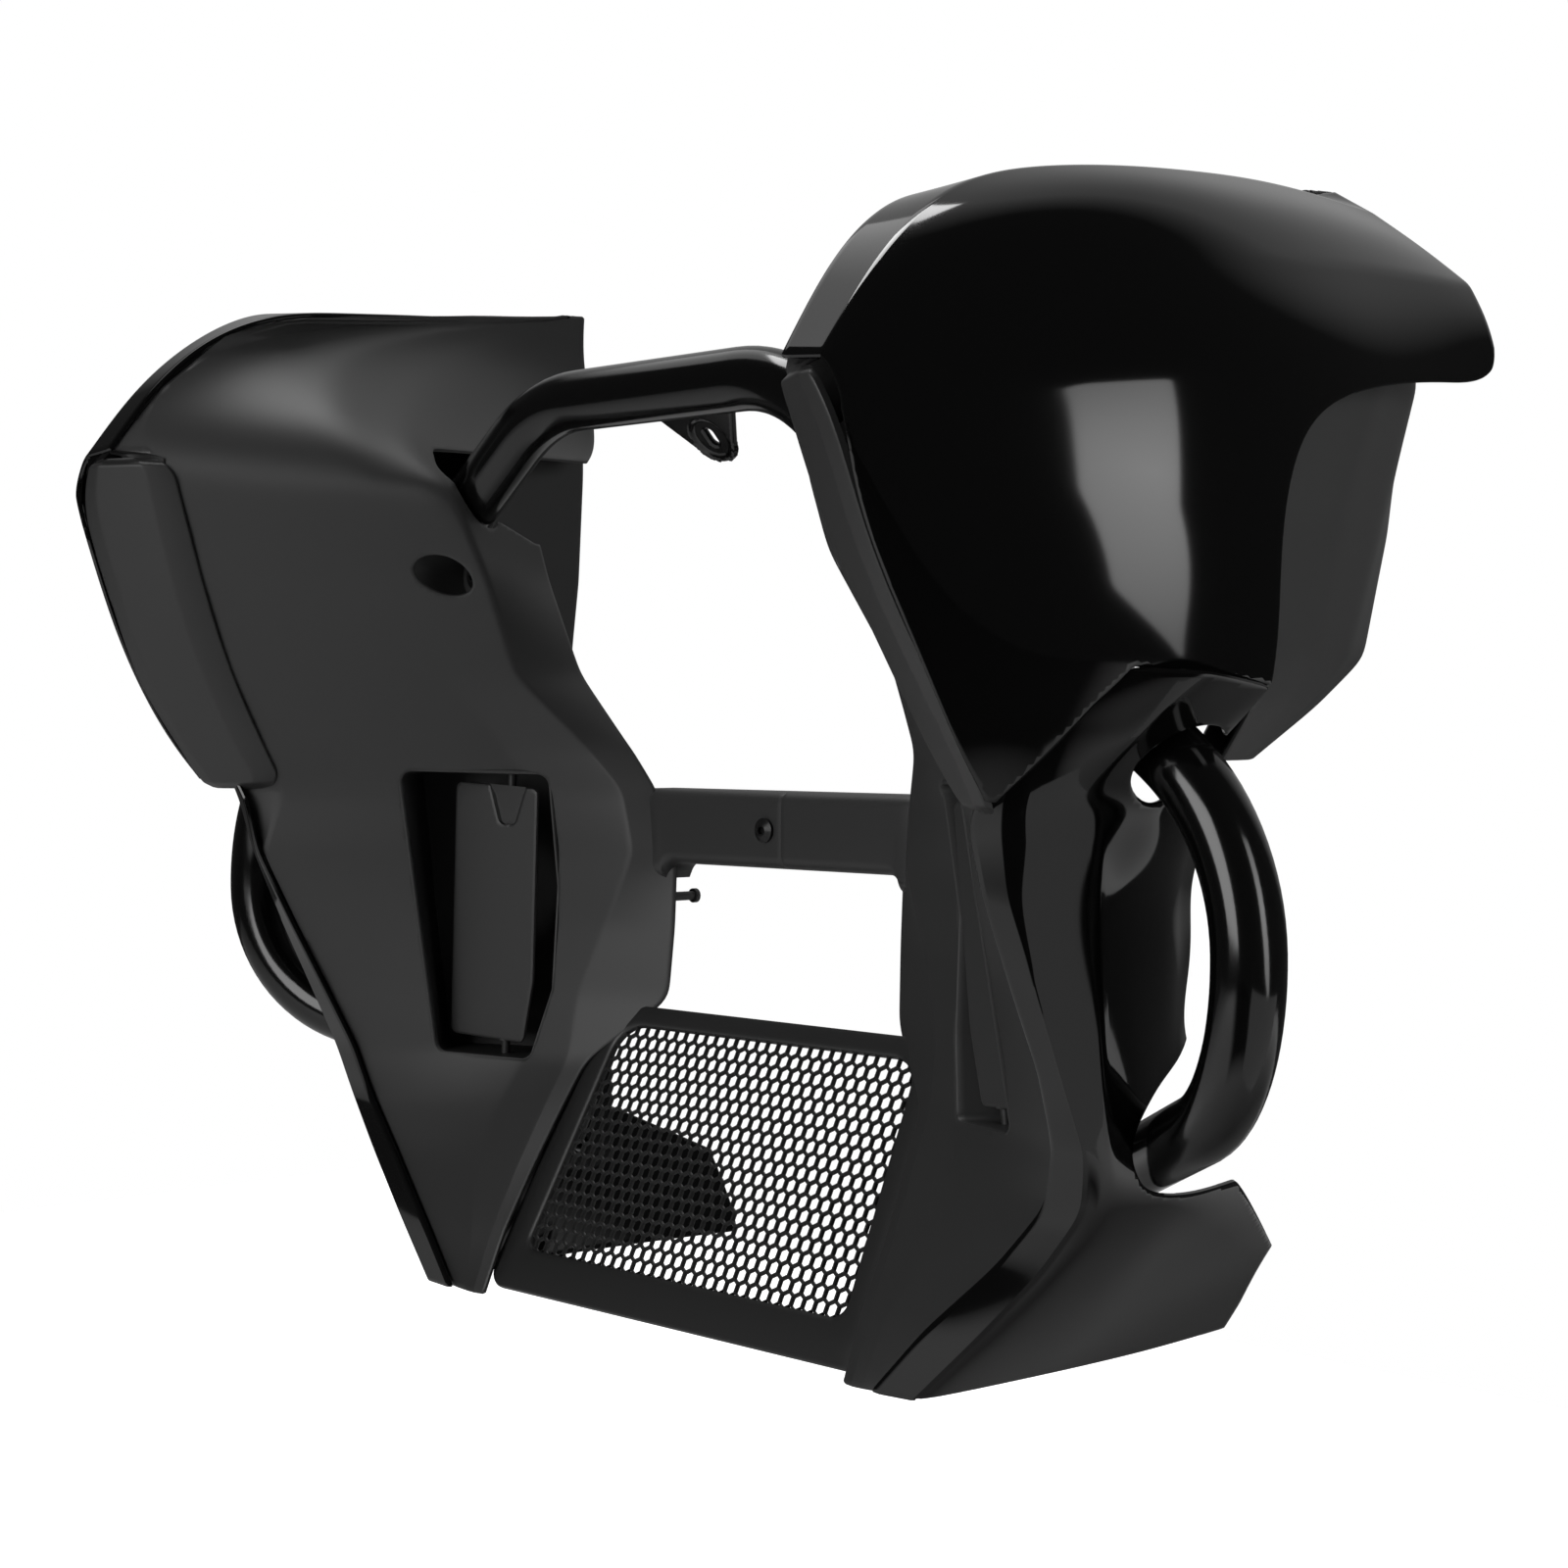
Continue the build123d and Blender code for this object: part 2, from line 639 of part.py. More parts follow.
# Vent flap: a blade in front of its barrel, with a V notch at its upper pin
flap_top = flap_height / 2
flap_outline = [
    (-flap_inner, flap_top),
    (flap_outer, flap_top),
    (flap_outer, -flap_top),
    (-flap_foot, -flap_top),
    (-flap_inner, -flap_top / 2),
]
flap_notch = [
    (-notch_width / 2, flap_top + 1),
    (notch_width / 2, flap_top + 1),
    (pin_diameter / 2, flap_top - notch_depth),
    (-pin_diameter / 2, flap_top - notch_depth),
]

with BuildPart() as vent_flap_left:
    with BuildSketch(flap_plane.offset((flap_barrel - flap_wall) / 2)):
        with BuildLine():
            FilletPolyline(*flap_outline, radius=flap_wall, close=True)
        make_face()
        with BuildLine():
            Polyline(*flap_notch, close=True)
        make_face(mode=Mode.SUBTRACT)
    extrude(amount=flap_wall / 2, both=True)
    with BuildSketch(hinge_plane.offset(-flap_height / 2)):
        Circle(flap_barrel / 2)
    extrude(amount=flap_height - notch_depth)
    with BuildSketch(hinge_plane.offset(-hinge_half - pin_length)):
        Circle(pin_diameter / 2)
    extrude(amount=2 * (hinge_half + pin_length))

# Chin grille: a frame with a set-back honeycomb, and a lug behind each inner panel
lean = math.radians(grille_tilt)
grille_plane = Plane(
    body(*grille_top), x_dir=(0, 1, 0), z_dir=(math.cos(lean), 0, math.sin(lean))
)


def half_width(down):
    return grille_half_top + (grille_half_low - grille_half_top) * down / grille_length


def grille_outline(margin, chin):
    """The grille's tapering outline, moved in from its sides and top and from its foot."""
    low = grille_length - chin
    return [
        (half_width(margin) - margin, -margin),
        (half_width(low) - margin, -low),
        (margin - half_width(low), -low),
        (margin - half_width(margin), -margin),
    ]


def grille_rounds(share):
    return [share * r for r in (grille_shoulder, grille_corner, grille_corner, grille_shoulder)]


cells = []
row_step = mesh_pitch * math.sqrt(3) / 2
rows = int((grille_length - grille_rim - grille_chin - mesh_pitch) / row_step)
for row in range(rows + 1):
    down = grille_rim + mesh_pitch * 0.55 + row * row_step
    shift = mesh_pitch / 2 if row % 2 else 0
    reach = half_width(down) - grille_rim - mesh_pitch * 0.55 - shift
    count = int(reach / mesh_pitch)
    row_cells = [(shift + mesh_pitch * i, -down) for i in range(-count - row % 2, count + 1)]
    cells += row_cells[1:-1] if row < 2 else row_cells

with BuildPart() as chin_grille:
    with BuildSketch(grille_plane):
        with BuildLine():
            FilletPolyline(*grille_outline(0, 0), radius=grille_rounds(1), close=True)
        make_face()
        with BuildLine():
            FilletPolyline(
                *grille_outline(grille_rim, grille_chin), radius=grille_rounds(0.6), close=True
            )
        make_face(mode=Mode.SUBTRACT)
    extrude(amount=-grille_wall)
    with BuildSketch(grille_plane.offset(mesh_wall - grille_wall)):
        with BuildLine():
            FilletPolyline(
                *grille_outline(grille_rim, grille_chin), radius=grille_rounds(0.6), close=True
            )
        make_face()
        with Locations(*cells):
            RegularPolygon((mesh_pitch - mesh_web) / 2, 6, major_radius=False, rotation=30,
                           mode=Mode.SUBTRACT)
    extrude(amount=-mesh_wall)
    with BuildSketch(grille_plane.offset(lug_stand)):
        with Locations((0, -lug_drop)):
            Rectangle(2 * (half_width(lug_drop) + lug_reach), lug_height)
            Rectangle(2 * (half_width(lug_drop) - grille_rim / 2), lug_height, mode=Mode.SUBTRACT)
    extrude(amount=-lug_wall)

# Right-hand pieces
with BuildPart() as foot_plate_right:
    mirror(foot_plate_left.part, about=Plane.XZ)

with BuildPart() as outer_cap_right:
    mirror(outer_cap_left.part, about=Plane.XZ)

with BuildPart() as lower_cowl_right:
    mirror(lower_cowl_left.part, about=Plane.XZ)

with BuildPart() as edge_trim_right:
    mirror(edge_trim_left.part, about=Plane.XZ)

with BuildPart() as rear_cover_right:
    mirror(rear_cover_left.part, about=Plane.XZ)

with BuildPart() as guard_clamp_right:
    mirror(guard_clamp_left.part, about=Plane.XZ)

with BuildPart() as vent_flap_right:
    mirror(vent_flap_left.part, about=Plane.XZ)

pieces = {
    "guard_tube": guard_tube,
    "top_tab": top_tab,
    "foot_plate_left": foot_plate_left,
    "foot_plate_right": foot_plate_right,
    "guard_clamp_left": guard_clamp_left,
    "guard_clamp_right": guard_clamp_right,
    "outer_cap_left": outer_cap_left,
    "outer_cap_right": outer_cap_right,
    "lower_cowl_left": lower_cowl_left,
    "lower_cowl_right": lower_cowl_right,
    "edge_trim_left": edge_trim_left,
    "edge_trim_right": edge_trim_right,
    "rear_cover_left": rear_cover_left,
    "rear_cover_right": rear_cover_right,
    "inner_panel_left": inner_panel_left,
    "inner_panel_right": inner_panel_right,
    "vent_flap_left": vent_flap_left,
    "vent_flap_right": vent_flap_right,
    "chin_grille": chin_grille,
    "bar_screw": bar_screw,
    "bar_nut": bar_nut,
    "cup_screws": cup_screws,
    "clamp_nuts": clamp_nuts,
}

os.makedirs("parts", exist_ok=True)
for name, piece in pieces.items():
    piece.part.label = name
    export_step(piece.part, f"parts/{name}.step")
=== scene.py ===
# %% [markdown]
# # A touring motorcycle's lower fairing
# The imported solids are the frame. This script puts finer surfaces in their place, each one
# worked out with numpy from the same lines that the solids follow, and lights them like a
# studio picture of black bodywork on white.

# %% Load the frame
import math

import bpy
import numpy as np
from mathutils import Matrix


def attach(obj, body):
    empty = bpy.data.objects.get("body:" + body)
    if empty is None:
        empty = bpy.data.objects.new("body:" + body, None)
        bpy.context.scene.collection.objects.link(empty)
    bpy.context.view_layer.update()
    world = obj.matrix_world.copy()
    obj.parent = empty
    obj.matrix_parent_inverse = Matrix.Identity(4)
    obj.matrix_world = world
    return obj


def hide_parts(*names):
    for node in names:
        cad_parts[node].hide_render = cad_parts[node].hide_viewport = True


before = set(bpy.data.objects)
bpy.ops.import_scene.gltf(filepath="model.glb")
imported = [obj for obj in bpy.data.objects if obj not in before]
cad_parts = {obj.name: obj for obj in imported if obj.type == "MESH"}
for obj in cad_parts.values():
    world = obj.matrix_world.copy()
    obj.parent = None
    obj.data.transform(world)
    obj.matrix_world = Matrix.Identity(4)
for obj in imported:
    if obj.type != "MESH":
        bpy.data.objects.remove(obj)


def bounds(objects):
    """Lowest and highest corner of some objects with their modifiers, in metres."""
    graph = bpy.context.evaluated_depsgraph_get()
    corners = []
    for ob in objects:
        mesh = ob.evaluated_get(graph).to_mesh()
        points = np.empty(len(mesh.vertices) * 3)
        mesh.vertices.foreach_get("co", points)
        corners += [points.reshape(-1, 3).min(0), points.reshape(-1, 3).max(0)]
    return np.min(corners, 0).tolist(), np.max(corners, 0).tolist()


cad_bounds = bounds(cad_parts.values())
print("frame", len(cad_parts), "nodes", np.round(cad_bounds, 3).tolist())

# %% [markdown]
# ## Units and lines
# Body lines are laid out in millimetres from the crossbar joint, which lies behind and below
# the origin. The left side is drawn, and the right side mirrors it.

# %% Lengths and curves
MM = 0.001  # metres in a millimetre
DATUM = np.array([50.0, 0.0, 180.0])  # the frame's origin, from the crossbar joint
STEP = 2.2  # from one level of a surface to the next
MIRROR = np.array([1, -1, 1])


def spline(knots, values, at):
    """Natural cubic through values at knots: bending follows from the three-term system that
    keeps slopes equal at every knot, and each stretch mixes its two ends with it."""
    k = np.asarray(knots, float)
    v = np.asarray(values, float)
    flat = v.reshape(len(k), -1)
    h = np.diff(k)
    system = np.eye(len(k))
    change = np.zeros_like(flat)
    for i in range(1, len(k) - 1):
        system[i, i - 1:i + 2] = h[i - 1], 2 * (h[i - 1] + h[i]), h[i]
        change[i] = 6 * ((flat[i + 1] - flat[i]) / h[i] - (flat[i] - flat[i - 1]) / h[i - 1])
    bend = np.linalg.solve(system, change)
    at = np.asarray(at, float)
    j = np.clip(np.searchsorted(k, at, side="right") - 1, 0, len(k) - 2)
    t = ((at - k[j]) / h[j])[:, None]
    s = 1 - t
    curl = (s**3 - s) * bend[j] + (t**3 - t) * bend[j + 1]
    out = s * flat[j] + t * flat[j + 1] + h[j][:, None] ** 2 / 6 * curl
    return out.reshape((len(at),) + v.shape[1:])


def lengths(points):
    """Distance run along a line of points, from its start."""
    steps = np.linalg.norm(np.diff(np.asarray(points, float), axis=0), axis=-1)
    return np.concatenate([[0], np.cumsum(steps)])


def curve(points, count=60):
    """A smooth line through the points, evenly spaced in their chord lengths."""
    run = lengths(points)
    return spline(run, points, np.linspace(0, run[-1], count))


def rounded(points, radii, closed=True, count=8):
    """A line with each corner replaced by an arc that touches both sides."""
    p = np.asarray(points, float)
    radii = np.broadcast_to(radii, len(p))
    line = []
    for i in range(len(p)):
        if not closed and i in (0, len(p) - 1):
            line.append(p[i][None])
            continue
        a = p[i - 1] - p[i]
        b = p[(i + 1) % len(p)] - p[i]
        a, b = a / np.linalg.norm(a), b / np.linalg.norm(b)
        half = math.acos(np.clip(a @ b, -1, 1)) / 2
        middle = (a + b) / np.linalg.norm(a + b)
        centre = p[i] + middle * radii[i] / math.sin(half)
        across = (a - b) / np.linalg.norm(a - b)
        turn = np.linspace(math.pi / 2 - half, half - math.pi / 2, count)[:, None]
        line.append(centre + radii[i] * (np.sin(turn) * across - np.cos(turn) * middle))
    return np.concatenate(line)


def smooth(grid, down=0, across=0):
    """Evens out a grid: each pass puts a point half way to the mean of its two neighbours,
    down the rows and across the columns, and the border stays."""
    grid = grid.copy()
    for axis, passes in ((0, down), (1, across)):
        g = grid.swapaxes(0, axis)
        for _ in range(passes):
            g[1:-1] = g[1:-1] / 2 + (g[:-2] + g[2:]) / 4
    return grid


def ease(value, low, high):
    """Zero below low, one above high, and a smooth step between."""
    t = np.clip((np.asarray(value, float) - low) / (high - low), 0, 1)
    return t * t * (3 - 2 * t)


def fair(places, values, at, stiff, count=14):
    """A spline near values at places that bends evenly: least squares keeps small both its
    misses and its knots' third differences times a stiffness."""
    knots = np.linspace(places[0], places[-1], count)
    flat = np.asarray(values, float).reshape(len(places), -1)
    weights = spline(knots, np.eye(count), places)
    third = np.diff(np.eye(count), 3, axis=0)
    system = np.concatenate([weights, stiff * third])
    wanted = np.concatenate([flat, np.zeros((count - 3, flat.shape[1]))])
    out = spline(knots, np.linalg.lstsq(system, wanted, rcond=None)[0], at)
    return out.reshape((len(at),) + np.shape(values)[1:])


def spread(lines, counts):
    """Straight runs between neighbouring columns of points, each with its own count."""
    runs = []
    for i, count in enumerate(counts):
        share = np.linspace(0, 1, count, endpoint=False)[None, :, None]
        runs.append(lines[:, i:i + 1] * (1 - share) + lines[:, i + 1:i + 2] * share)
    return np.concatenate(runs + [lines[:, -1:]], 1)


def between(places, table, at):
    """A table's rows at other places, on straight lines from row to row."""
    table = np.asarray(table, float)
    flat = table.reshape(len(places), -1)
    mixed = np.stack([np.interp(at, places, column) for column in flat.T], 1)
    return mixed.reshape((len(at),) + table.shape[1:])


def stacked(sections, drop):
    """Level sections as one grid of points, each at its depth."""
    level = np.repeat(-drop[:, None, None], sections.shape[1], 1)
    return np.concatenate([sections, level], -1)


def column_run(lines):
    """Mean distance run along rows of points, column by column."""
    steps = np.linalg.norm(np.diff(lines, axis=1), axis=2)
    return np.concatenate([[0], np.cumsum(steps.mean(0))])


def creased(lines, fold, weight, count):
    """Rows of points as smooth lines with a fold at one column: a spline over all columns and
    two splines that meet at the fold are mixed by each row's weight."""
    run = column_run(lines)
    at = np.linspace(0, run[-1], count)
    line = lines.swapaxes(0, 1)
    whole = spline(run, line, at)
    first = at < run[fold]
    split = np.concatenate([
        spline(run[:fold + 1], line[:fold + 1], at[first]),
        spline(run[fold:], line[fold:], at[~first]),
    ])
    return (whole + (split - whole) * weight[None, :, None]).swapaxes(0, 1)


print("curves ready")

# %% [markdown]
# ## Faces, cuts and walls
# A surface is a grid of points. An opening is cut where a signed distance changes sign, and
# the sheet then gets its wall: a second face behind it and a half-round edge between the two.

# %% Grid, cut and wall
def outside(outline):
    """A function for how far 2-D points lie outside a closed outline, negative within it: the
    nearest edge's distance, signed by the number of edges crossed on the way out."""
    a = np.asarray(outline, float)
    b = np.roll(a, -1, 0)
    e = b - a

    def distance(points):
        p = np.asarray(points, float)[:, None, :]
        t = np.clip(((p - a) * e).sum(-1) / (e * e).sum(-1), 0, 1)
        near = np.linalg.norm(p - a - t[..., None] * e, axis=-1).min(1)
        crossed = (a[:, 1] > p[..., 1]) != (b[:, 1] > p[..., 1])
        rise = np.where(e[:, 1] == 0, 1, e[:, 1])
        reach = a[:, 0] + (p[..., 1] - a[:, 1]) / rise * e[:, 0]
        within = (crossed & (p[..., 0] < reach)).sum(1) % 2 == 1
        return np.where(within, -near, near)

    return distance


def grid_faces(rows, columns, ring=False):
    """Four-sided faces between neighbouring rows and columns of a grid."""
    i = np.arange(rows * columns).reshape(rows, columns)
    if ring:
        i = np.concatenate([i, i[:, :1]], 1)
    quads = np.stack([i[:-1, :-1], i[1:, :-1], i[1:, 1:], i[:-1, 1:]], -1)
    return quads.reshape(-1, 4).tolist()


def sheet(grid, ring=False):
    """A grid's points as one list, with its faces."""
    return grid.reshape(-1, 3), grid_faces(grid.shape[0], grid.shape[1], ring)


def cut(points, faces, keep):
    """Keeps what lies where keep is above zero. An edge that crosses gets a point where the
    straight line between its two end values is zero."""
    least = 0.02
    value = keep(points)
    value = np.where(np.abs(value) < least, least, value)
    points = list(points)
    kept = []
    crossing = {}
    for face in faces:
        inside = [value[i] > 0 for i in face]
        if all(inside):
            kept.append(face)
        if all(inside) or not any(inside):
            continue
        part = []
        for i, j in zip(face, face[1:] + face[:1]):
            if value[i] > 0:
                part.append(i)
            if (value[i] > 0) != (value[j] > 0):
                edge = (min(i, j), max(i, j))
                if edge not in crossing:
                    share = value[i] / (value[i] - value[j])
                    crossing[edge] = len(points)
                    points.append(points[i] + share * (points[j] - points[i]))
                part.append(crossing[edge])
        kept.append(part)
    return np.array(points), kept


def trimmed(points, faces, wastes, thick):
    """Cuts a skin back by outlines in side view, with room for its wall's round edge."""
    for waste in wastes:
        points, faces = cut(points, faces, lambda p: waste(p[:, [0, 2]]) - thick / 2)
    return points, faces


def normals(points, faces):
    """Unit normals at the points: the sum of the crossed diagonals of the faces around."""
    total = np.zeros_like(points)
    for count in {len(f) for f in faces}:
        group = np.array([f for f in faces if len(f) == count])
        corner = points[group]
        area = sum(
            np.cross(corner[:, k] - corner[:, 0], corner[:, k + 1] - corner[:, 0])
            for k in range(1, count - 1)
        )
        for k in range(count):
            np.add.at(total, group[:, k], area)
    return total / np.maximum(np.linalg.norm(total, axis=1), 1e-9)[:, None]


def wall(points, faces, thick, facing, turns=4):
    """Gives a sheet a wall behind its face. The edge is a half circle as wide as the wall,
    swept along the sheet's border."""
    n = normals(points, faces)
    if (n @ np.asarray(facing, float)).sum() < 0:
        faces = [f[::-1] for f in faces]
        n = -n
    used = {(i, j) for f in faces for i, j in zip(f, f[1:] + f[:1])}
    after = {i: j for i, j in used if (j, i) not in used}
    before = {j: i for i, j in after.items()}
    edge = [i for i in after if i in before]
    ahead = [after.get(after[i], after[i]) for i in edge]
    astern = [before.get(before[i], before[i]) for i in edge]
    along = points[ahead] - points[astern]
    out = np.cross(along, n[edge])
    out /= np.maximum(np.linalg.norm(out, axis=1), 1e-9)[:, None]
    count = len(points)
    middle = points[edge] - n[edge] * thick / 2
    stack = [points, points - n * thick]
    for k in range(1, turns):
        turn = math.pi * k / turns
        stack.append(middle + thick / 2 * (math.cos(turn) * n[edge] + math.sin(turn) * out))
    place_of = {i: k for k, i in enumerate(edge)}

    def ring(i, k):
        """Point k of the half circle at border point i, from the face to the back."""
        if k in (0, turns):
            return i + (count if k else 0)
        return 2 * count + (k - 1) * len(edge) + place_of[i]

    faces = faces + [[i + count for i in f[::-1]] for f in faces]
    for i in edge:
        j = after[i]
        if j in place_of:
            faces += [
                [ring(j, k), ring(i, k), ring(i, k + 1), ring(j, k + 1)] for k in range(turns)
            ]
    return np.concatenate(stack), faces


def join(*parts):
    """Several point and face lists as one."""
    points, faces, count = [], [], 0
    for p, f in parts:
        points.append(p)
        faces += [[i + count for i in face] for face in f]
        count += len(p)
    return np.concatenate(points), faces


print("surface tools ready")

# %% [markdown]
# ## Materials
# Five finishes: gloss black paint on plastic, grained matte plastic, satin plastic for the
# grille, gloss powder coat on steel, and black oxide on the screws. Grain is a fine noise in
# real millimetres.

# %% Materials
def colour(code):
    """Linear red, green, blue and alpha from an sRGB hex code."""
    c = np.array([int(code[i:i + 2], 16) / 255 for i in (1, 3, 5)])
    c = np.where(c <= 0.04045, c / 12.92, ((c + 0.055) / 1.055) ** 2.4)
    return (*c, 1.0)


def node(tree, kind, links=None, operation=None, **inputs):
    """Adds one node, sets its operation and its inputs, and joins what the links name."""
    made = tree.nodes.new(kind)
    if operation:
        made.operation = operation
    for name, value in inputs.items():
        made.inputs[name.replace("_", " ")].default_value = value
    for name, socket in (links or {}).items():
        tree.links.new(socket, made.inputs[name])
    return made


def finish(name, code, rough, grain_mm=0, depth_mm=0, metal=0):
    """A surface of one colour, with an optional grain of bumps this wide and deep."""
    material = bpy.data.materials.new(name)
    material.use_nodes = True
    tree = material.node_tree
    surface = tree.nodes["Principled BSDF"]
    surface.inputs["Base Color"].default_value = colour(code)
    surface.inputs["Roughness"].default_value = rough
    surface.inputs["Metallic"].default_value = metal
    material.diffuse_color = colour(code)
    if grain_mm:
        where = node(tree, "ShaderNodeTexCoord")
        noise = node(tree, "ShaderNodeTexNoise", {"Vector": where.outputs["Object"]},
                     Scale=1 / (grain_mm * MM), Detail=2.0, Roughness=0.6)
        bump = node(tree, "ShaderNodeBump", {"Height": noise.outputs["Fac"]},
                    Strength=1.0, Distance=depth_mm * MM)
        tree.links.new(bump.outputs["Normal"], surface.inputs["Normal"])
    return material


gloss = finish("gloss_black_paint_on_plastic", "#050505", 0.07)
matte = finish("grained_black_plastic", "#2a2a2a", 0.48, grain_mm=0.7, depth_mm=0.02)
satin = finish("satin_black_plastic", "#242424", 0.4)
steel = finish("gloss_black_powder_coat", "#060606", 0.13)
oxide = finish("black_oxide_steel", "#202020", 0.35, metal=0.6)

# %% [markdown]
# ## Making pieces
# A piece takes the place of a CAD node and rides on its body. A pair draws the left piece
# and its mirror.

# %% Pieces
SHARP_ANGLE = math.radians(40)


def piece(name, points, faces, material, body="fairing"):
    """One object from points in millimetres, in place of the CAD node of the same name."""
    used = np.unique(np.concatenate([np.asarray(f) for f in faces]))
    fresh = np.full(len(points), -1)
    fresh[used] = np.arange(len(used))
    places = (points[used] - DATUM) * MM
    mesh = bpy.data.meshes.new(name + "_skin")
    mesh.from_pydata(places.tolist(), [], [fresh[f].tolist() for f in faces])
    mesh.polygons.foreach_set("use_smooth", np.ones(len(mesh.polygons), bool))
    mesh.set_sharp_from_angle(angle=SHARP_ANGLE)
    mesh.materials.append(material)
    made = bpy.data.objects.new(name + "_skin", mesh)
    bpy.context.scene.collection.objects.link(made)
    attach(made, body)
    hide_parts(name)
    print(made.name, len(mesh.polygons), "faces")
    return made


def mirrored(points, faces):
    """The same piece on the other side of the bike."""
    return points * MIRROR, [f[::-1] for f in faces]


def pair(name, points, faces, material, body="fairing"):
    """A left piece and its mirror."""
    for side, shape in (("left", (points, faces)), ("right", mirrored(points, faces))):
        piece(f"{name}_{side}", *shape, material, body.replace("SIDE", side))


print("piece tools ready")

# %% [markdown]
# ## Engine guard
# One tube is swept along straight runs and bends, from foot to foot.

# %% Guard tube
TUBE_R = 31.75 / 2
TUBE_STEP = 6.0
guard_turns = np.array([[87, 94, 201], [87, 378, -12], [87, 378, -124], [-15, 200, -193]], float)
bends = [90, 106, 80, 0]


def tube(path, radius, count=40):
    """A ring swept along a path; the ring's sides are carried from point to point without
    twisting, by removing the part that leans along the path."""
    along = np.gradient(path, axis=0)
    along /= np.linalg.norm(along, axis=1)[:, None]
    side = np.cross(along[0], [1.0, 0.2, 0.1])
    turn = np.linspace(0, 2 * math.pi, count, endpoint=False)[:, None]
    rings = []
    for p, t in zip(path, along):
        side = side - (side @ t) * t
        side /= np.linalg.norm(side)
        rings.append(p + radius * (np.cos(turn) * side + np.sin(turn) * np.cross(t, side)))
    return np.array(rings)


whole = np.concatenate([guard_turns[::-1] * MIRROR, guard_turns])
path = rounded(whole, bends[::-1] + bends, closed=False, count=30)
run = lengths(path)
path = between(run, path, np.arange(0, run[-1], TUBE_STEP))
piece("guard_tube", *sheet(tube(path, TUBE_R), ring=True), steel)

upper_start, upper_end = guard_turns[:2]


def from_upper_run(points):
    """Distance from the guard's upper run, as a straight line."""
    along = (upper_end - upper_start) / np.linalg.norm(upper_end - upper_start)
    away = points - upper_start
    return np.linalg.norm(away - (away @ along)[:, None] * along, axis=1)


# %% [markdown]
# ## Top tab
# A plate under the bar, with a dished seat round its slot.

# %% Top tab
TAB_TILT = math.radians(42.8)
TAB_WALL, TAB_FRONT, TAB_INSET = 4.0, 2.5, 1.5
TIP_R, TAB_HALF, TAB_LOW, TAB_TOP = 15, 35, 24, 34
SLOT_R, SLOT_HALF = 4.5, 2.5
DISH_R, DISH_DEEP = 13, 1.5
tab_up = np.array([math.sin(TAB_TILT), 0, math.cos(TAB_TILT)])
tab_face = np.array([math.cos(TAB_TILT), 0, -math.sin(TAB_TILT)])
tip = np.linspace(math.pi * 0.17, math.pi * 0.83, 24)
tab_outline = np.concatenate([
    TIP_R * np.stack([np.cos(tip), -np.sin(tip)], 1),
    [(-TAB_HALF, TAB_LOW), (-TAB_HALF, TAB_TOP), (TAB_HALF, TAB_TOP), (TAB_HALF, TAB_LOW)],
])
slot_ends = ((np.linspace(0, math.pi, 14), 1), (np.linspace(math.pi, 2 * math.pi, 14), -1))
slot_outline = np.concatenate([
    SLOT_R * np.stack([np.cos(t), np.sin(t)], 1) + [0, SLOT_HALF * s] for t, s in slot_ends
])
a, b = np.meshgrid(
    np.arange(-TAB_HALF - 1, TAB_HALF + 1.1, 1.0), np.arange(-TIP_R - 1, TAB_TOP + 1, 1.0))
dish = DISH_DEEP * np.clip((DISH_R - np.hypot(a, b)) / DISH_DEEP, 0, 1)
flat = (DATUM + a[..., None] * [0, 1, 0] + b[..., None] * tab_up
        + (TAB_FRONT - dish)[..., None] * tab_face)
points, faces = sheet(flat)


def on_tab(points):
    """Places on the tab as run across it and up its slope."""
    away = points - DATUM
    return np.stack([away[:, 1], away @ tab_up], 1)


edge, hole = outside(tab_outline), outside(slot_outline)
points, faces = cut(points, faces, lambda p: -edge(on_tab(p)) - TAB_INSET)
points, faces = cut(points, faces, lambda p: hole(on_tab(p)))
piece("top_tab", *wall(points, faces, TAB_WALL, tab_face), steel)

# %% [markdown]
# ## Outer caps
# Ribs across the bike set the shape, and a stiff spline along each column of their points
# keeps the gloss skin fair. A flat rim runs along the inner edge, the visor has a fold, and
# side-view lines cut the skin back.

# %% Caps
cap_ribs = {
    -90: [(286, 285), (310, 271), (337, 252), (363, 232),
        (376, 204), (381, 150), (379, 95), (360, 15)],
    -20: [(273, 275), (305, 277), (338, 257), (363, 232),
        (379, 195), (385, 140), (382, 90), (362, 15)],
    50: [(263, 270), (311, 273), (340, 255), (362, 229),
        (382, 190), (390, 130), (386, 85), (364, 15)],
    113: [(254, 264), (303, 268), (332, 253), (352, 224),
        (372, 185), (379, 130), (374, 85), (355, 18)],
    150: [(250, 259), (286, 262), (318, 246), (340, 215),
        (358, 175), (363, 120), (352, 70), (322, 16)],
    165: [(253, 254), (287, 255), (312, 241), (332, 212),
        (350, 173), (355, 120), (344, 62), (302, -6)],
    180: [(256, 249), (288, 247), (307, 234), (325, 208),
        (342, 170), (346, 120), (335, 60), (300, -2)],
    210: [(262, 227), (290, 223), (304, 213), (320, 192),
        (334, 160), (332, 120), (322, 85), (296, 30)],
    234: [(265, 199), (291, 196), (300, 188), (311, 172),
        (317, 150), (315, 130), (311, 118), (296, 90)],
    247: [(267, 181), (291, 179), (295, 176), (299, 170),
        (302, 164), (302, 157), (301, 152), (294, 143)],
}
crease = [(170, -10), (155, 20), (145, 39), (134, 55), (110, 53), (52, 46), (-20, 44)]
visor_edge = [
    (-92, 204), (-87, 192), (-76, 186.5), (-50, 183), (13, 175), (61, 153), (75, 108), (67, 52),
    (66, 30),
]
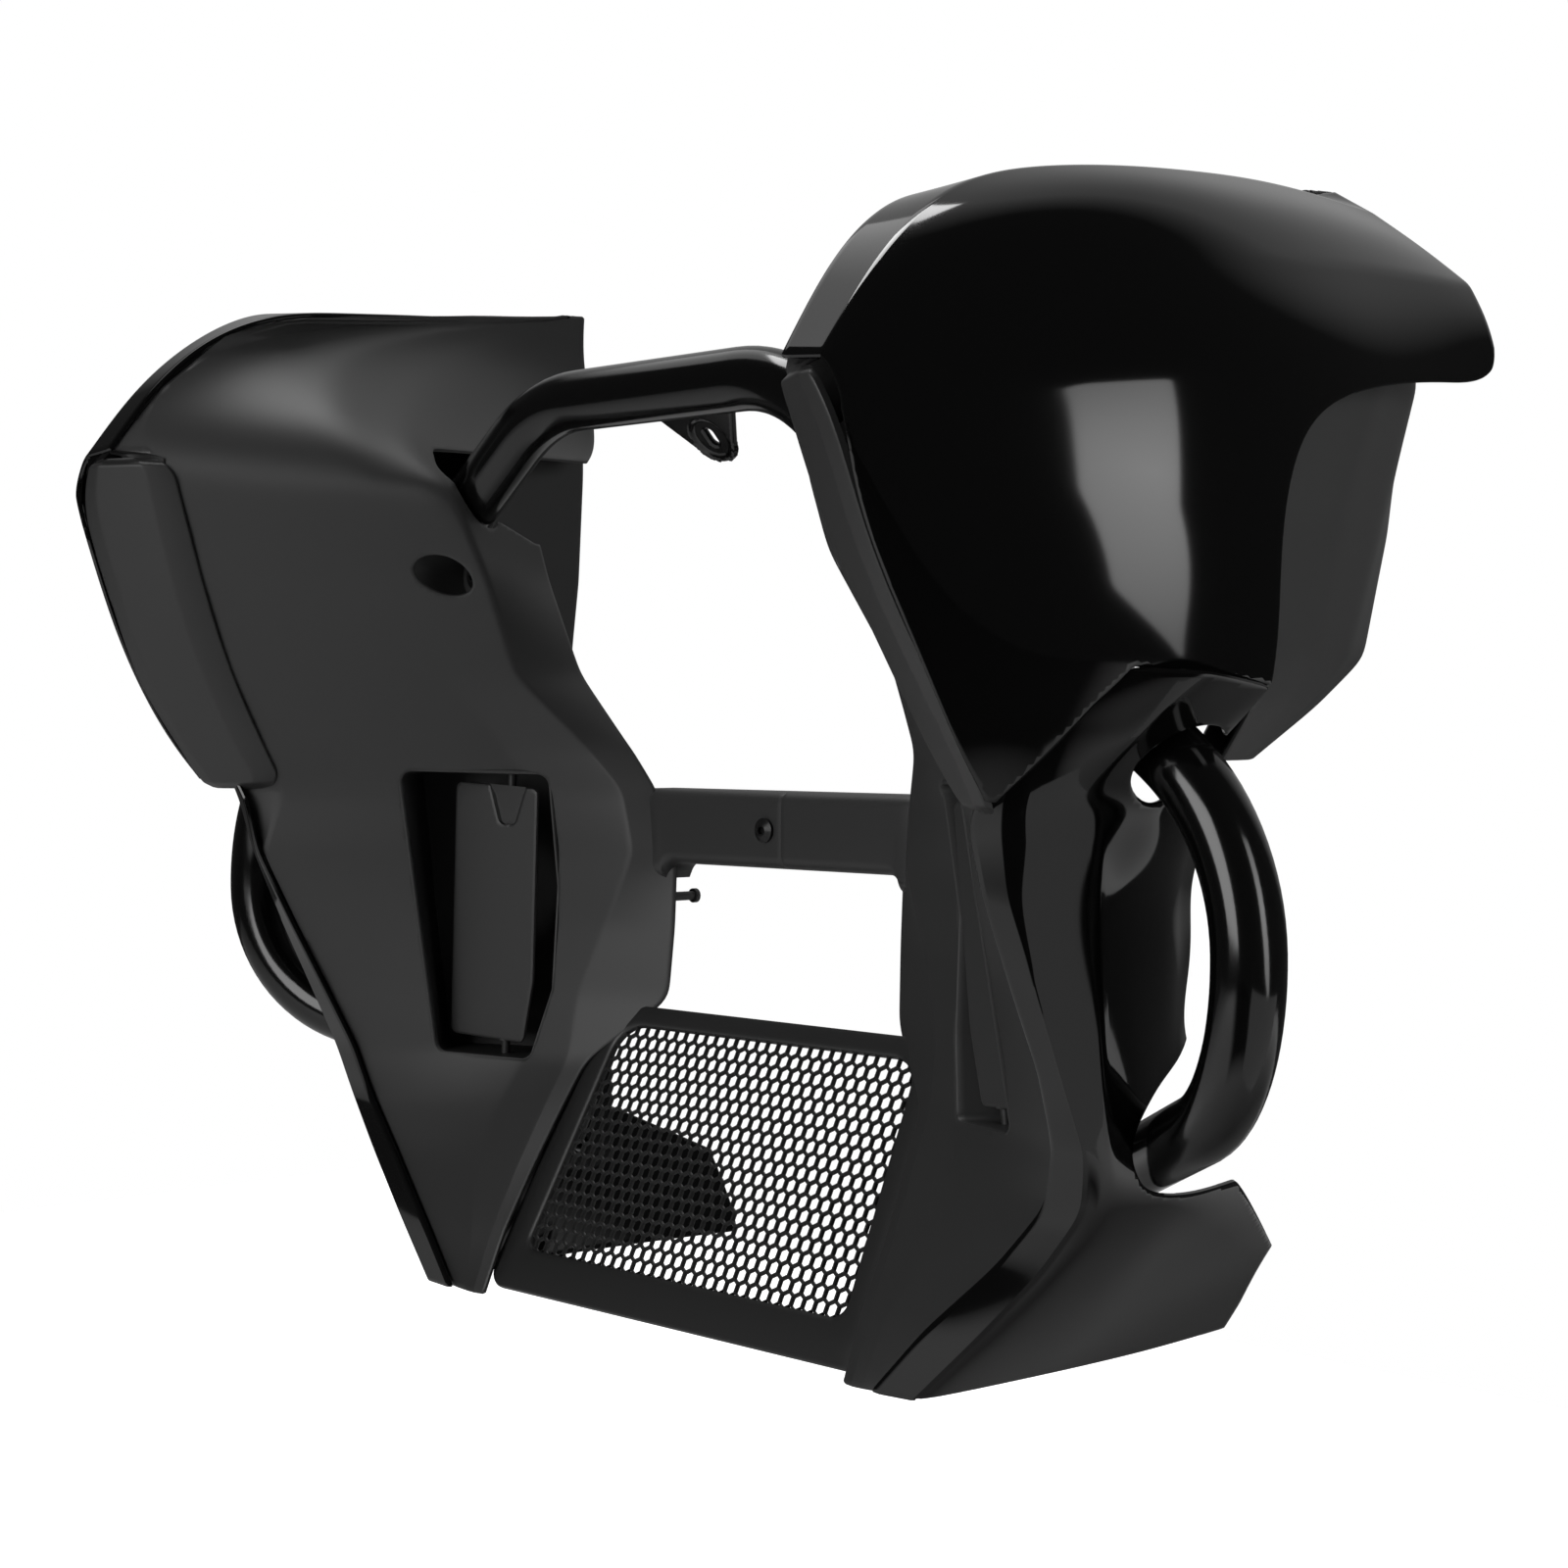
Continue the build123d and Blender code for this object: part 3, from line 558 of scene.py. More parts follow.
lead_edge = [(158, -20), (166, -6), (180, 12), (210, 58), (234, 108), (247, 149), (252, 175)]
OUTWARD = (0.3, 1, 0)
CAP_WALL = 3.0
RIM_STIFF, SKIN_STIFF = 0.3, 1.2
stations = list(cap_ribs)
ribs = np.array(list(cap_ribs.values()), float)
across = np.linspace(stations[0], stations[-1], 170)
fair_ribs = np.concatenate([
    fair(stations, ribs[:, :2], across, RIM_STIFF),
    fair(stations, ribs[:, 2:], across, SKIN_STIFF),
], 1)
rim = spread(fair_ribs[:, :2], [12])[:, 1:-1]
visor_fold = 1 - ease(across, 40, 110)
skin = creased(fair_ribs[:, 1:], 2, visor_fold, 150)
skin = np.concatenate([rim, smooth(skin, 0, 3)], 1)
skin = np.concatenate([np.repeat(across[:, None, None], skin.shape[1], 1), skin], -1)
under_visor = outside(np.concatenate([
    curve(visor_edge, 90), [(66, 10), (-110, 10), (-110, 204)],
]))
below_crease = outside(crease + [(-20, -40), (170, -40)])
past_lead = outside(np.concatenate([curve(lead_edge), [(300, 175), (300, -60), (158, -60)]]))
points, faces = trimmed(*sheet(skin), (under_visor, below_crease, past_lead), CAP_WALL)
pair("outer_cap", *wall(points, faces, CAP_WALL, OUTWARD), gloss)

# %% [markdown]
# ## Lower cowls
# Level sections run from the leading crease over a flat band to the rear. The mouth and the
# scallop let the guard through.

# %% Cowls
cowl_sections = {
    62: [(140, 352), (138, 356), (135, 361), (112, 383),
        (90, 388), (60, 388), (35, 384), (10, 378)],
    44: [(150, 322), (147, 329), (144, 335), (118, 364),
        (90, 370), (60, 370), (35, 366), (10, 360)],
    24: [(156, 302), (153, 308), (150, 314), (121, 344), (92, 350), (60, 346), (32, 336), (5, 322)],
    0: [(157, 293), (152.5, 302), (147.5, 308), (118, 321),
        (90, 328), (58, 321), (26, 307), (-4, 288)],
    -9: [(155, 284), (149.5, 298), (144, 303.5), (114, 318.5),
        (89, 324), (56, 317), (25, 302), (-5, 284)],
    -40: [(147, 285), (142, 295), (138.5, 297.5), (103, 312),
        (85, 311), (50, 302), (20, 287), (-6, 272)],
    -65: [(134.5, 283), (131, 294.3), (130.3, 295), (98, 308.5),
        (79, 307), (46, 299), (19, 285), (-6, 271)],
    -80: [(127, 282), (124.6, 293.4), (124, 293.8), (95, 306.5),
        (76, 305), (44, 297), (18, 284), (-6, 270)],
    -120: [(106, 279), (105.6, 291.4), (105, 291.7), (87, 300),
        (67, 299), (41, 292), (18, 283), (-6, 272)],
    -155: [(90, 273), (89, 290), (87, 290.8), (76, 294),
        (55, 293), (30, 288), (-10, 278), (-66, 263)],
    -182: [(85, 264), (83, 283), (80, 284.5), (70, 288),
        (44, 288), (10, 283), (-56, 265), (-130, 243)],
    -212: [(87, 236), (85, 259), (82, 261), (72, 266),
        (40, 268), (0, 262), (-64, 248), (-136, 231)],
    -246: [(94, 198), (90, 225), (87, 226.5), (75, 232),
        (40, 235), (0, 232), (-62, 222), (-136, 209)],
    -263: [(96, 182), (92.5, 207), (89.5, 208.5), (78, 213),
        (40, 216), (0, 215), (-61, 209), (-135, 199)],
    -280: [(98, 166), (95, 189), (92, 190.3), (80, 194),
        (40, 196), (0, 197), (-60, 196), (-132, 189)],
}
scallop_edge = [(-8, -112), (14, -120), (48, -136), (60, -154), (50, -172), (30, -179), (-44, -183)]
mouth_edge = [(-20, -26), (18, -20), (43, -7), (63, 8), (68, 23), (68, 40), (68, 60)]
COWL_WALL = 3.0
COWL_FOOT, COWL_REAR = -277.9, -134.8
COWL_ROOM = 8
levels = -np.array(list(cowl_sections), float)
drop = np.arange(levels[0], levels[-1] + 0.1, STEP)
sections = np.array(list(cowl_sections.values()), float)
edges = smooth(between(levels, sections[:, :3], drop), 12)
sections = np.concatenate([edges, spline(levels, sections[:, 3:], drop)], 1)
band = spread(sections[:, :3], [9, 5])[:, :-1]
fold = ease(-drop, -190, -130) * (1 - ease(-drop, 30, 55))
flank = creased(sections[:, 2:], 1, fold, 90)
skin = stacked(np.concatenate([band, smooth(flank, 0, 1)], 1), drop)
above_crease = outside(crease + [(-20, 90), (170, 90)])
scallop = outside(np.concatenate([
    curve(scallop_edge), [(-136, -232), (-190, -232), (-190, -112)],
]))
mouth = outside(np.concatenate([curve(mouth_edge), [(68, 80), (-20, 80)]]))
points, faces = trimmed(*sheet(skin), (above_crease, scallop, mouth), COWL_WALL)
points, faces = cut(points, faces, lambda p: from_upper_run(p) - TUBE_R - COWL_ROOM)
points, faces = cut(points, faces, lambda p: np.minimum(p[:, 2] - COWL_FOOT, p[:, 0] - COWL_REAR))
pair("lower_cowl", *wall(points, faces, COWL_WALL, OUTWARD), gloss)

# %% [markdown]
# ## Trim strips
# A strip follows each leading edge. A raised face lies between a broad bevel on the inner side
# and a narrow one outside, and the ends are round.

# %% Trim
trim_edges = {
    177: [(228, 242), (250, 282)],
    163: [(223, 243), (249, 291)],
    113: [(205, 248), (234, 300)],
    60: [(180, 257), (210, 307)],
    18: [(156, 262), (183, 309)],
    -5: [(140, 267), (166, 304)],
}
TRIM_WALL = 4.0
SEAT_GAP = 0.3
TRIM_START = 2
INNER_ROUND, OUTER_ROUND, END_FADE = 14, 5, 5
edges = np.array(list(trim_edges.values()), float)
height = np.array(list(trim_edges), float)
run = lengths(np.concatenate([edges.mean(1), height[:, None]], 1))
share = np.linspace(0, 1, 140)
at = TRIM_START + (run[-1] - TRIM_START) * (0.5 * ease(share, 0, 1) + 0.5 * share)
strip = spline(run, np.concatenate([edges.reshape(-1, 4), height[:, None]], 1), at)
from_end = np.minimum(at - at[0], at[-1] - at)


def end_round(radius):
    """How far a quarter circle of this radius draws the strip's side in near its ends."""
    return radius - np.sqrt(radius**2 - np.clip(radius - from_end, 0, radius) ** 2)


inner, outer = strip[:, :2], strip[:, 2:4]
over = (outer - inner) / np.linalg.norm(outer - inner, axis=1)[:, None]
inner = inner + over * end_round(INNER_ROUND)[:, None]
outer = outer - over * end_round(OUTER_ROUND)[:, None]
width = np.linalg.norm(outer - inner, axis=1)
back = np.stack([-over[:, 1], over[:, 0]], 1)
profile = [
    (0, 4), (0, 2.2), (0.015, 1.6), (0.24, -1.9), (0.26, -2.35), (0.29, -2.5), (0.5, -2.5),
    (0.81, -2.5), (0.84, -2.35), (0.86, -2.0), (0.97, 0.1), (0.99, 0.6), (1, 1.2), (1, 4),
]
low = TRIM_WALL * (1 - ease(from_end, 0, END_FADE))
rows = [
    inner + over * (width * part)[:, None] + back * np.minimum(deep + low, TRIM_WALL)[:, None]
    for part, deep in profile
]
strip_skin = np.stack([np.concatenate([r, strip[:, 4:]], 1) for r in rows], 1)
points, faces = sheet(strip_skin, ring=True)
ring = np.arange(len(rows))
faces += [ring.tolist(), (ring + (len(at) - 1) * len(rows))[::-1].tolist()]
pair("edge_trim", points, faces, matte)

# %% [markdown]
# ## Inner panels
# Each level of a panel runs from a hidden flange over the front edge, a bend and a ridge to
# the rear edge. Seen along the vent's direction the panel is a height over (run, level), so
# the vent, its funnel and the screw cup all start on that height.

# %% Panel surface
panel_top = {
    283: [(-74, 282), (-77, 282), (-82, 282.5), (-86, 283), (-91, 283.5)],
    278: [(-52, 279), (-58, 279), (-66, 280), (-78, 281.5), (-91, 283)],
    270: [(20, 268), (15, 267.5), (-15, 271), (-50, 277), (-91, 286)],
    258: [(145, 252), (139, 251), (70, 258), (0, 270), (-92, 287)],
    246: [(176, 268), (181, 255), (100, 254), (20, 263), (-94, 286)],
    215: [(210, 280), (218, 262), (140, 214), (80, 212), (-102, 286)],
    190: [(230, 283), (238, 265), (155, 188), (110, 175), (-106, 286)],
    178.5: [(240, 282), (247, 267.5), (152, 181), (113, 158), (-36, 231)],
}
panel_low = {
    177: [(151, 180), (114, 157), (-30, 228)],
    163: [(146, 168), (118, 138), (45, 165)],
    113: [(121, 163), (95, 135), (28, 166)],
    60: [(95, 177), (66, 147), (20, 148)],
    18: [(56, 168), (31, 128), (13, 113)],
    -5: [(40, 163), (19, 113), (6, 100)],
    -40: [(31, 160), (15.9, 107.5), (0, 89.5)],
    -80: [(30, 160), (20.2, 125.2), (2, 89.5)],
    -120: [(35, 163), (27.9, 139.9), (5, 91.5)],
    -155: [(42, 170), (34, 142), (30, 132)],
    -182: [(56, 177), (49, 145), (45, 136)],
    -212: [(71, 178), (64.5, 148), (61, 140)],
    -246: [(84.5, 163), (81.5, 149), (79.5, 142)],
    -280: [(94.5, 156), (94.8, 149.5), (93.5, 143)],
}
notch_edge = [(-130, 133), (38, 133), (72, 143), (98, 154), (112, 170), (104, 182), (-130, 195)]
vent_outline = [(138, 3), (222, 5), (206, -155), (150, -157), (137, -118), (134, -60)]
RUN = np.array([0.69, 0.724, 0])
FACE = np.array([0.724, -0.69, 0])
PANEL_WALL = 2.8
FLANGE_GAP, FLANGE_SHARE = 1.6, 0.6
PANEL_COUNTS = (6, 50, 22, 30)  # flange, front part, part up to the ridge, rear part
FACE_START, FACE_END = 6, 80  # columns of the face that can be seen from the vent's direction


def behind(line, gap):
    """A two-point line moved back by a gap."""
    d = np.subtract(line[1], line[0])
    d = d / np.linalg.norm(d)
    return np.asarray(line, float) + gap * np.array([-d[1], d[0]])


def panel_level(z):
    """One level's five points, from the flange to the rear edge."""
    if z in panel_top:
        return panel_top[z]
    if z in trim_edges:
        front, far = behind(trim_edges[z], TRIM_WALL + SEAT_GAP)
    else:
        front, far = behind(cowl_sections[z][:2], COWL_WALL + FLANGE_GAP)
    return [front + (far - front) * FLANGE_SHARE, front, *panel_low[z]]


tops = list(panel_top) + list(panel_low)
features = np.array([panel_level(z) for z in tops], float)
drop = np.arange(-tops[0], -tops[-1] + 0.1, STEP)
features = between(-np.array(tops, float), features, drop)
panel = stacked(spread(features, PANEL_COUNTS), drop)
soft = ease(-drop, 120, 190)[:, None, None]
flange, face = panel[:, :FACE_START], panel[:, FACE_START:]
face = smooth(face, 90, 40) * soft + smooth(face, 8, 2) * (1 - soft)
panel = np.concatenate([flange, face], 1)
print("panel grid", panel.shape)


def panel_depth(points, axis, inward):
    """Where the panel's face lies along one direction, for points given by their level and
    their place along an axis: the two nearest levels are read at that place and mixed."""
    row = np.clip((panel[0, 0, 2] - points[:, 2]) / STEP, 0, len(panel) - 1.001)
    low = row.astype(int)
    found = []
    for place, i, share in zip(points @ axis, low, row - low):
        ends = []
        for line in panel[i:i + 2, FACE_START:FACE_END]:
            key = line @ axis
            order = np.argsort(key)
            ends.append(np.interp(place, key[order], (line @ inward)[order]))
        found.append(ends[0] * (1 - share) + ends[1] * share)
    return np.array(found)


def on_vent(points):
    """Places seen along the vent's direction, as run and level."""
    return np.stack([points @ RUN, points[:, 2]], 1)


# %% [markdown]
# ## Panel openings
# A notch lets the guard through, and the vent and the screw cup are cut out of the face. A
# funnel leads back from the vent's edge to a wall with an outlet on its inner side.

# %% Openings
CUT_ROUND = 6
PANEL_FOOT, PANEL_ROOM = -278.1, 4
cup_y, cup_z, cup_r, cup_floor = 153.0, 112.0, 12.0, 88.0
vent_line = rounded(vent_outline, CUT_ROUND, count=10)
notch = outside(rounded(notch_edge, CUT_ROUND))
vent = outside(vent_line)
points, faces = trimmed(*sheet(panel), (notch,), PANEL_WALL)
points, faces = cut(points, faces, lambda p: from_upper_run(p) - TUBE_R - PANEL_ROOM)
points, faces = cut(points, faces, lambda p: vent(on_vent(p)) - PANEL_WALL / 2)
points, faces = cut(points, faces, lambda p: np.maximum(
    np.hypot(p[:, 1] - cup_y, p[:, 2] - cup_z) - cup_r, cup_floor - p[:, 0]))
points, faces = cut(points, faces, lambda p: p[:, 2] - PANEL_FOOT)
panel_shape = wall(points, faces, PANEL_WALL, FACE)
print("panel with openings", len(panel_shape[1]), "faces")

# %% Funnel
FUNNEL_BACK, FUNNEL_LIP, FUNNEL_WALL = -147.0, 1.2, 2.4
OUTLET_SIDE = 148
outlet = outside([(-146, -110), (-128, -110), (-128, -10), (-146, -10)])
rim = vent_line[:, :1] * RUN + vent_line[:, 1:] * [0, 0, 1]
face_at = panel_depth(rim, RUN, FACE) - FUNNEL_LIP
deep = np.linspace(0, 1, 20)[:, None]
depth = face_at * (1 - deep) + FUNNEL_BACK * deep
funnel = rim + depth[..., None] * FACE
middle = funnel[-1].mean(0)
back_wall = [middle + (funnel[-1] - middle) * s for s in np.linspace(0.97, 0.01, 14)]
points, faces = sheet(np.concatenate([funnel, back_wall]), ring=True)
points, faces = cut(points, faces, lambda p: np.maximum(
    outlet(np.stack([p @ FACE, p[:, 2]], 1)), p @ RUN - OUTLET_SIDE))
if (normals(points, faces) * (funnel.mean((0, 1)) - points)).sum() < 0:
    faces = [f[::-1] for f in faces]
funnel_shape = wall(points, faces, FUNNEL_WALL, (0, 0, 0))
print("funnel", len(funnel_shape[1]), "faces")

# %% [markdown]
# ## Cup, crossbar arm and peg
# The cup is a well for the screw. The arms of both panels lap at the middle of the bike, where
# the left one carries a tongue.

# %% Cup, arm and peg
CUP_COUNT, CUP_LIP = 40, 0.8
PEG_PLACE, PEG_COUNT = (94, -64), 16
ARM_TOP, ARM_LOW, ARM_FRONT, ARM_DEPTH = -4.0, -45.0, 8.0, 22.0
ARM_WALL, ARM_ROUND, ARM_ROOT = 3.0, 7, 106.0
FLARE_START, FLARE_R = 83, 10


def circle(x, place, radius, count):
    """Points of a circle round a line along the bike, at one x or with an x for each."""
    turn = np.linspace(0, 2 * math.pi, count, endpoint=False)
    y, z = place[0] + radius * np.cos(turn), place[1] + radius * np.sin(turn)
    return np.stack([np.broadcast_to(x, count), y, z], 1)


def cup():
    """A well from the panel's face to a flat floor with a screw hole."""
    place = (cup_y, cup_z)
    lip = circle(0, place, cup_r, CUP_COUNT)
    mouth_x = panel_depth(lip, [0, 1, 0], [1, 0, 0]) - CUP_LIP
    rows = [
        circle(mouth_x * (1 - s) + cup_floor * s, place, cup_r, CUP_COUNT)
        for s in np.linspace(0, 1, 8)
    ]
    rows += [circle(cup_floor, place, r, CUP_COUNT) for r in (8, 3.4)]
    return sheet(np.array(rows)[::-1], ring=True)


def arm(start):
    """A channel from the lap to the panel: rounded in front, open behind, and flared below
    where it meets the panel like the inside of a quarter circle."""
    section = rounded([
        (ARM_FRONT - ARM_DEPTH, ARM_TOP), (ARM_FRONT, ARM_TOP), (ARM_FRONT, ARM_LOW),
        (ARM_FRONT - ARM_DEPTH, ARM_LOW),
    ], ARM_ROUND, closed=False)
    middle = (ARM_TOP + ARM_LOW) / 2
    lower = np.minimum(section[:, 1] - middle, 0) / (ARM_LOW - middle)
    y = np.concatenate([
        np.linspace(start, FLARE_START - 1, 24),
        np.linspace(FLARE_START, FLARE_START + 9.9, 14), [ARM_ROOT],
    ])
    grow = FLARE_R - np.sqrt(FLARE_R**2 - np.clip(y - FLARE_START, 0, 9.95) ** 2)
    grid = np.stack([
        np.stack([section[:, 0], np.full(len(section), at), section[:, 1] - lower * drop], 1)
        for at, drop in zip(y, grow)
    ])
    return wall(*sheet(grid), ARM_WALL, (1, 0, 0))


def peg():
    """A stem with a small head, turned about a line that points to the rear."""
    outline = [(0, 0.1), (0, 2.5), (-17, 2.5), (-17, 4), (-19.5, 4), (-19.5, 0.1)]
    rows = [circle(x, PEG_PLACE, r, PEG_COUNT) for x, r in outline]
    return sheet(np.array(rows), ring=True)


tongue = np.array([[(4.7, y, z) for z in (-37.5, -11.5)] for y in np.linspace(-24, 9, 12)])
tongue_shape = wall(*sheet(tongue), 6.0, (1, 0, 0))
shared = join(panel_shape, funnel_shape, cup(), peg())
piece("inner_panel_left", *join(shared, arm(6.3), tongue_shape), matte)
piece("inner_panel_right", *mirrored(*join(shared, arm(-6.0))), matte)

# %% [markdown]
# ## Vent flaps
# A blade stands on two pins in each vent, with a notch at its upper pin.

# %% Flaps
hinge_top, hinge_low = np.array([41.0, 183, 0]), np.array([37.0, 195, -152])
hinge_axis = (hinge_top - hinge_low) / np.linalg.norm(hinge_top - hinge_low)
hinge_middle = (hinge_top + hinge_low) / 2
blade_run = np.cross(hinge_axis, [0.96, -0.28, 0])
blade_run /= np.linalg.norm(blade_run)
blade_face = np.cross(blade_run, hinge_axis)
FLAP_IN, FLAP_FOOT, FLAP_OUT, FLAP_TOP, FLAP_WALL = 21.0, 15.0, 37.0, 73.0, 3.0
BARREL, PIN_R, PIN_REACH = 4.5, 2.5, 9
NOTCH_FOOT = 51
flap_outline = rounded([
    (-FLAP_FOOT, -FLAP_TOP), (FLAP_OUT, -FLAP_TOP), (FLAP_OUT, FLAP_TOP),
    (-FLAP_IN, FLAP_TOP), (-FLAP_IN, -FLAP_TOP / 2),
], 4)
notch_outline = rounded(
    [(-12, 90), (12, 90), (12, 72), (5, NOTCH_FOOT), (-5, NOTCH_FOOT), (-12, 72)],
    [1, 1, 3, 4.5, 4.5, 3])
a, b = np.meshgrid(
    np.arange(-FLAP_IN - 1, FLAP_OUT + 1.1, 1.5), np.arange(-FLAP_TOP - 1, FLAP_TOP + 1.1, 1.5))
blade = hinge_middle + a[..., None] * blade_run + b[..., None] * hinge_axis + BARREL * blade_face


def on_blade(points):
    """Places on the blade as run across it and up the hinge line."""
    away = points - hinge_middle
    return np.stack([away @ blade_run, away @ hinge_axis], 1)


edge, bite = outside(flap_outline), outside(notch_outline)
points, faces = cut(*sheet(blade), lambda p: -edge(on_blade(p)) - FLAP_WALL / 2)
points, faces = cut(points, faces, lambda p: bite(on_blade(p)) - FLAP_WALL / 2)
blade_shape = wall(points, faces, FLAP_WALL, blade_face)
pin_ends = hinge_low - hinge_axis * PIN_REACH, hinge_top + hinge_axis * PIN_REACH
pins = tube(np.linspace(*pin_ends, 30), PIN_R, 20)
barrel_ends = hinge_middle - FLAP_TOP * hinge_axis, hinge_middle + NOTCH_FOOT * hinge_axis
barrel = tube(np.linspace(*barrel_ends, 30), BARREL, 24)
notch_run, notch_rise = notch_outline[:, :1], np.minimum(notch_outline[:, 1:], FLAP_TOP - 1)
pocket = np.array([
    hinge_middle + (notch_rise * share + NOTCH_FOOT * (1 - share)) * hinge_axis
    + notch_run * share * blade_run + (BARREL - deep) * blade_face
    for share, deep in ((1.06, 0.6), (0.82, 1.8), (0.05, 1.8))
])
flap = join(blade_shape, *(sheet(grid, ring=True) for grid in (pocket, pins, barrel)))
pair("vent_flap", *flap, matte, "flap_SIDE")

# %% [markdown]
# ## Rear covers
# Box sections stacked up behind the caps, with softened corners.

# %% Covers
cover_sections = {
    215: [(20, 360), (-30, 357), (-68, 344), (-92, 318), (-100, 291.6), (-60, 288.8), (-20, 288.8)],
    186: [(40, 370), (-20, 366), (-68, 352), (-96, 322), (-100, 291.6), (-60, 288.8), (-20, 288.8)],
    120: [(70, 372), (10, 366), (-42, 350), (-84, 324), (-97, 292), (-60, 289), (0, 289)],
    62: [(62, 366), (16, 358), (-24, 346), (-66, 324), (-90, 292), (-60, 289), (0, 289)],
    40: [(58, 358), (28, 351), (2, 343), (-16, 335), (-24, 316), (-10, 304), (10, 300)],
    16: [(54, 338), (40, 335), (28, 331), (20, 326), (17, 317), (24, 310), (36, 306)],
}
COVER_WALL = 2.8
height = np.array(list(cover_sections), float)
boxes = np.array(list(cover_sections.values()), float)
drop = np.arange(-height[0], -height[-1] + 0.1, STEP)
boxes = between(-height, boxes, drop)
cover = smooth(stacked(spread(boxes, [18] * 6), drop), 6, 10)
pair("rear_cover", *wall(*sheet(cover), COVER_WALL, (-0.5, 1, 0)), matte)

# %% [markdown]
# ## Chin grille
# A rounded frame holds a honeycomb set a little behind its face. Cells run in rows, each
# second row moved by half a cell.

# %% Grille
lean = math.radians(26.9)
grille_top = np.array([11.0, 0, -124])
grille_face = np.array([math.cos(lean), 0, math.sin(lean)])
grille_up = np.array([-math.sin(lean), 0, math.cos(lean)])
LENGTH, HALF_TOP, HALF_LOW, RIM, CHIN = 169.0, 126.0, 138.0, 12.0, 24.0
SHOULDER, CORNER = 30.0, 14.0
PITCH, WEB = 8.2, 1.5
LUG_DEEP, LUG_WALL = 2.0, 4.2


def on_grille(flat, deep):
    """Points of the grille's plane, with a depth behind its face."""
    flat = np.asarray(flat, float)
    deep = np.broadcast_to(deep, len(flat))[:, None]
    return grille_top + flat[:, :1] * [0, 1, 0] + flat[:, 1:] * grille_up - deep * grille_face


def grille_line(margin, chin, share, wide=0.0):
    """The tapering outline with rounded corners, moved in by margins and out at the sides."""
    low = LENGTH - chin
    top_half = HALF_TOP + (HALF_LOW - HALF_TOP) * margin / LENGTH - margin
    low_half = HALF_TOP + (HALF_LOW - HALF_TOP) * low / LENGTH - margin
    top_half, low_half = top_half + wide, low_half + wide
    corners = [(top_half, -margin), (low_half, -low), (-low_half, -low), (-top_half, -margin)]
    radii = np.array([SHOULDER, CORNER, CORNER, SHOULDER]) * share
    return rounded(corners, radii, count=16)


# Each row: margin, chin, share of the corner radii, extra width at the sides and depth
frame_rows = [
    (0.0, 0.0, 0.8, 9, 3.9), (0.0, 0.0, 0.8, 9, 2.0), (0.5, 0.5, 0.8, 9, 0.7),
    (2.0, 2.0, 0.8, 9, 0.0), (8.5, 20.0, 0.7, 0, 0.0), (10.5, 22.5, 0.65, 0, 0.5),
    (11.6, 23.6, 0.6, 0, 1.6), (RIM, CHIN, 0.6, 0, 3.9),
]
ring = np.array([
    on_grille(grille_line(*line), deep) for *line, deep in frame_rows + frame_rows[:1]
])
frame_shape = sheet(ring, ring=True)
window = outside(grille_line(RIM, CHIN, 0.6))
cells_y = np.arange(-140, 140, PITCH)
cells_down = np.arange(0, LENGTH, PITCH * math.sqrt(3) / 2)
spots = np.concatenate([
    np.stack([cells_y + (i % 2) * PITCH / 2, np.full(len(cells_y), -down)], 1)
    for i, down in enumerate(cells_down)
])
spots = spots[window(spots) < PITCH * 0.45]
corner = np.arange(6) * math.pi / 3 + math.pi / 6
hexagon = np.stack([np.cos(corner), np.sin(corner)], 1)
wide, tight = PITCH / math.sqrt(3), (PITCH - WEB) / math.sqrt(3)
rings = [(wide, 1.4), (tight + 0.3, 1.4), (tight, 1.8), (tight, 3.6), (wide, 3.6)]
cell = np.concatenate([np.concatenate([hexagon * r, np.full((6, 1), d)], 1) for r, d in rings])
cell_faces = grid_faces(len(rings), 6, ring=True)
flat = (cell[None, :, :2] + spots[:, None, :]).reshape(-1, 2)
mesh_points = on_grille(flat, np.tile(cell[:, 2], len(spots)))
mesh_faces = [[i + len(cell) * c for i in f] for c in range(len(spots)) for f in cell_faces]
lug = np.array([[(y, z) for z in (-56, -74)] for y in np.linspace(120, 144.6, 8)])
lug_grid = on_grille(lug.reshape(-1, 2), LUG_DEEP).reshape(8, 2, 3)
lug_shape = wall(*sheet(lug_grid), LUG_WALL, grille_face)
grille = join(frame_shape, (mesh_points, mesh_faces), lug_shape, mirrored(*lug_shape))
piece("chin_grille", *grille, satin)

# %% [markdown]
# ## Hardware that stays
# Screws, nuts, clamps and foot plates keep their CAD shapes and take the real finishes.

# %% Hardware
kept = {
    "bar_screw": oxide, "bar_nut": oxide, "cup_screws": oxide, "clamp_nuts": oxide,
    "guard_clamp_left": steel, "guard_clamp_right": steel,
    "foot_plate_left": steel, "foot_plate_right": steel,
}
for name, material in kept.items():
    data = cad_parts[name].data
    data.materials.clear()
    data.materials.append(material)
print("kept", sorted(kept))

# %% [markdown]
# ## Stage, light and camera
# The part hangs above a pale floor, as it would on the bike. Gloss black shows what it
# reflects, so the room is dim but for soft boxes and two glowing cards, and white only for the
# camera. The floor's colour holds painted shade and a painted shadow, which the gloss reflects.

# %% Soft boxes
def aimed(ob, place_m, target_m):
    """Puts an object somewhere, looking at a target along its own minus Z."""
    away = np.subtract(target_m, place_m)
    yaw = math.atan2(away[1], away[0]) - math.pi / 2
    pitch = math.atan2(math.hypot(away[0], away[1]), -away[2])
    ob.location = place_m
    ob.rotation_euler = (pitch, 0, yaw)
    bpy.context.scene.collection.objects.link(ob)


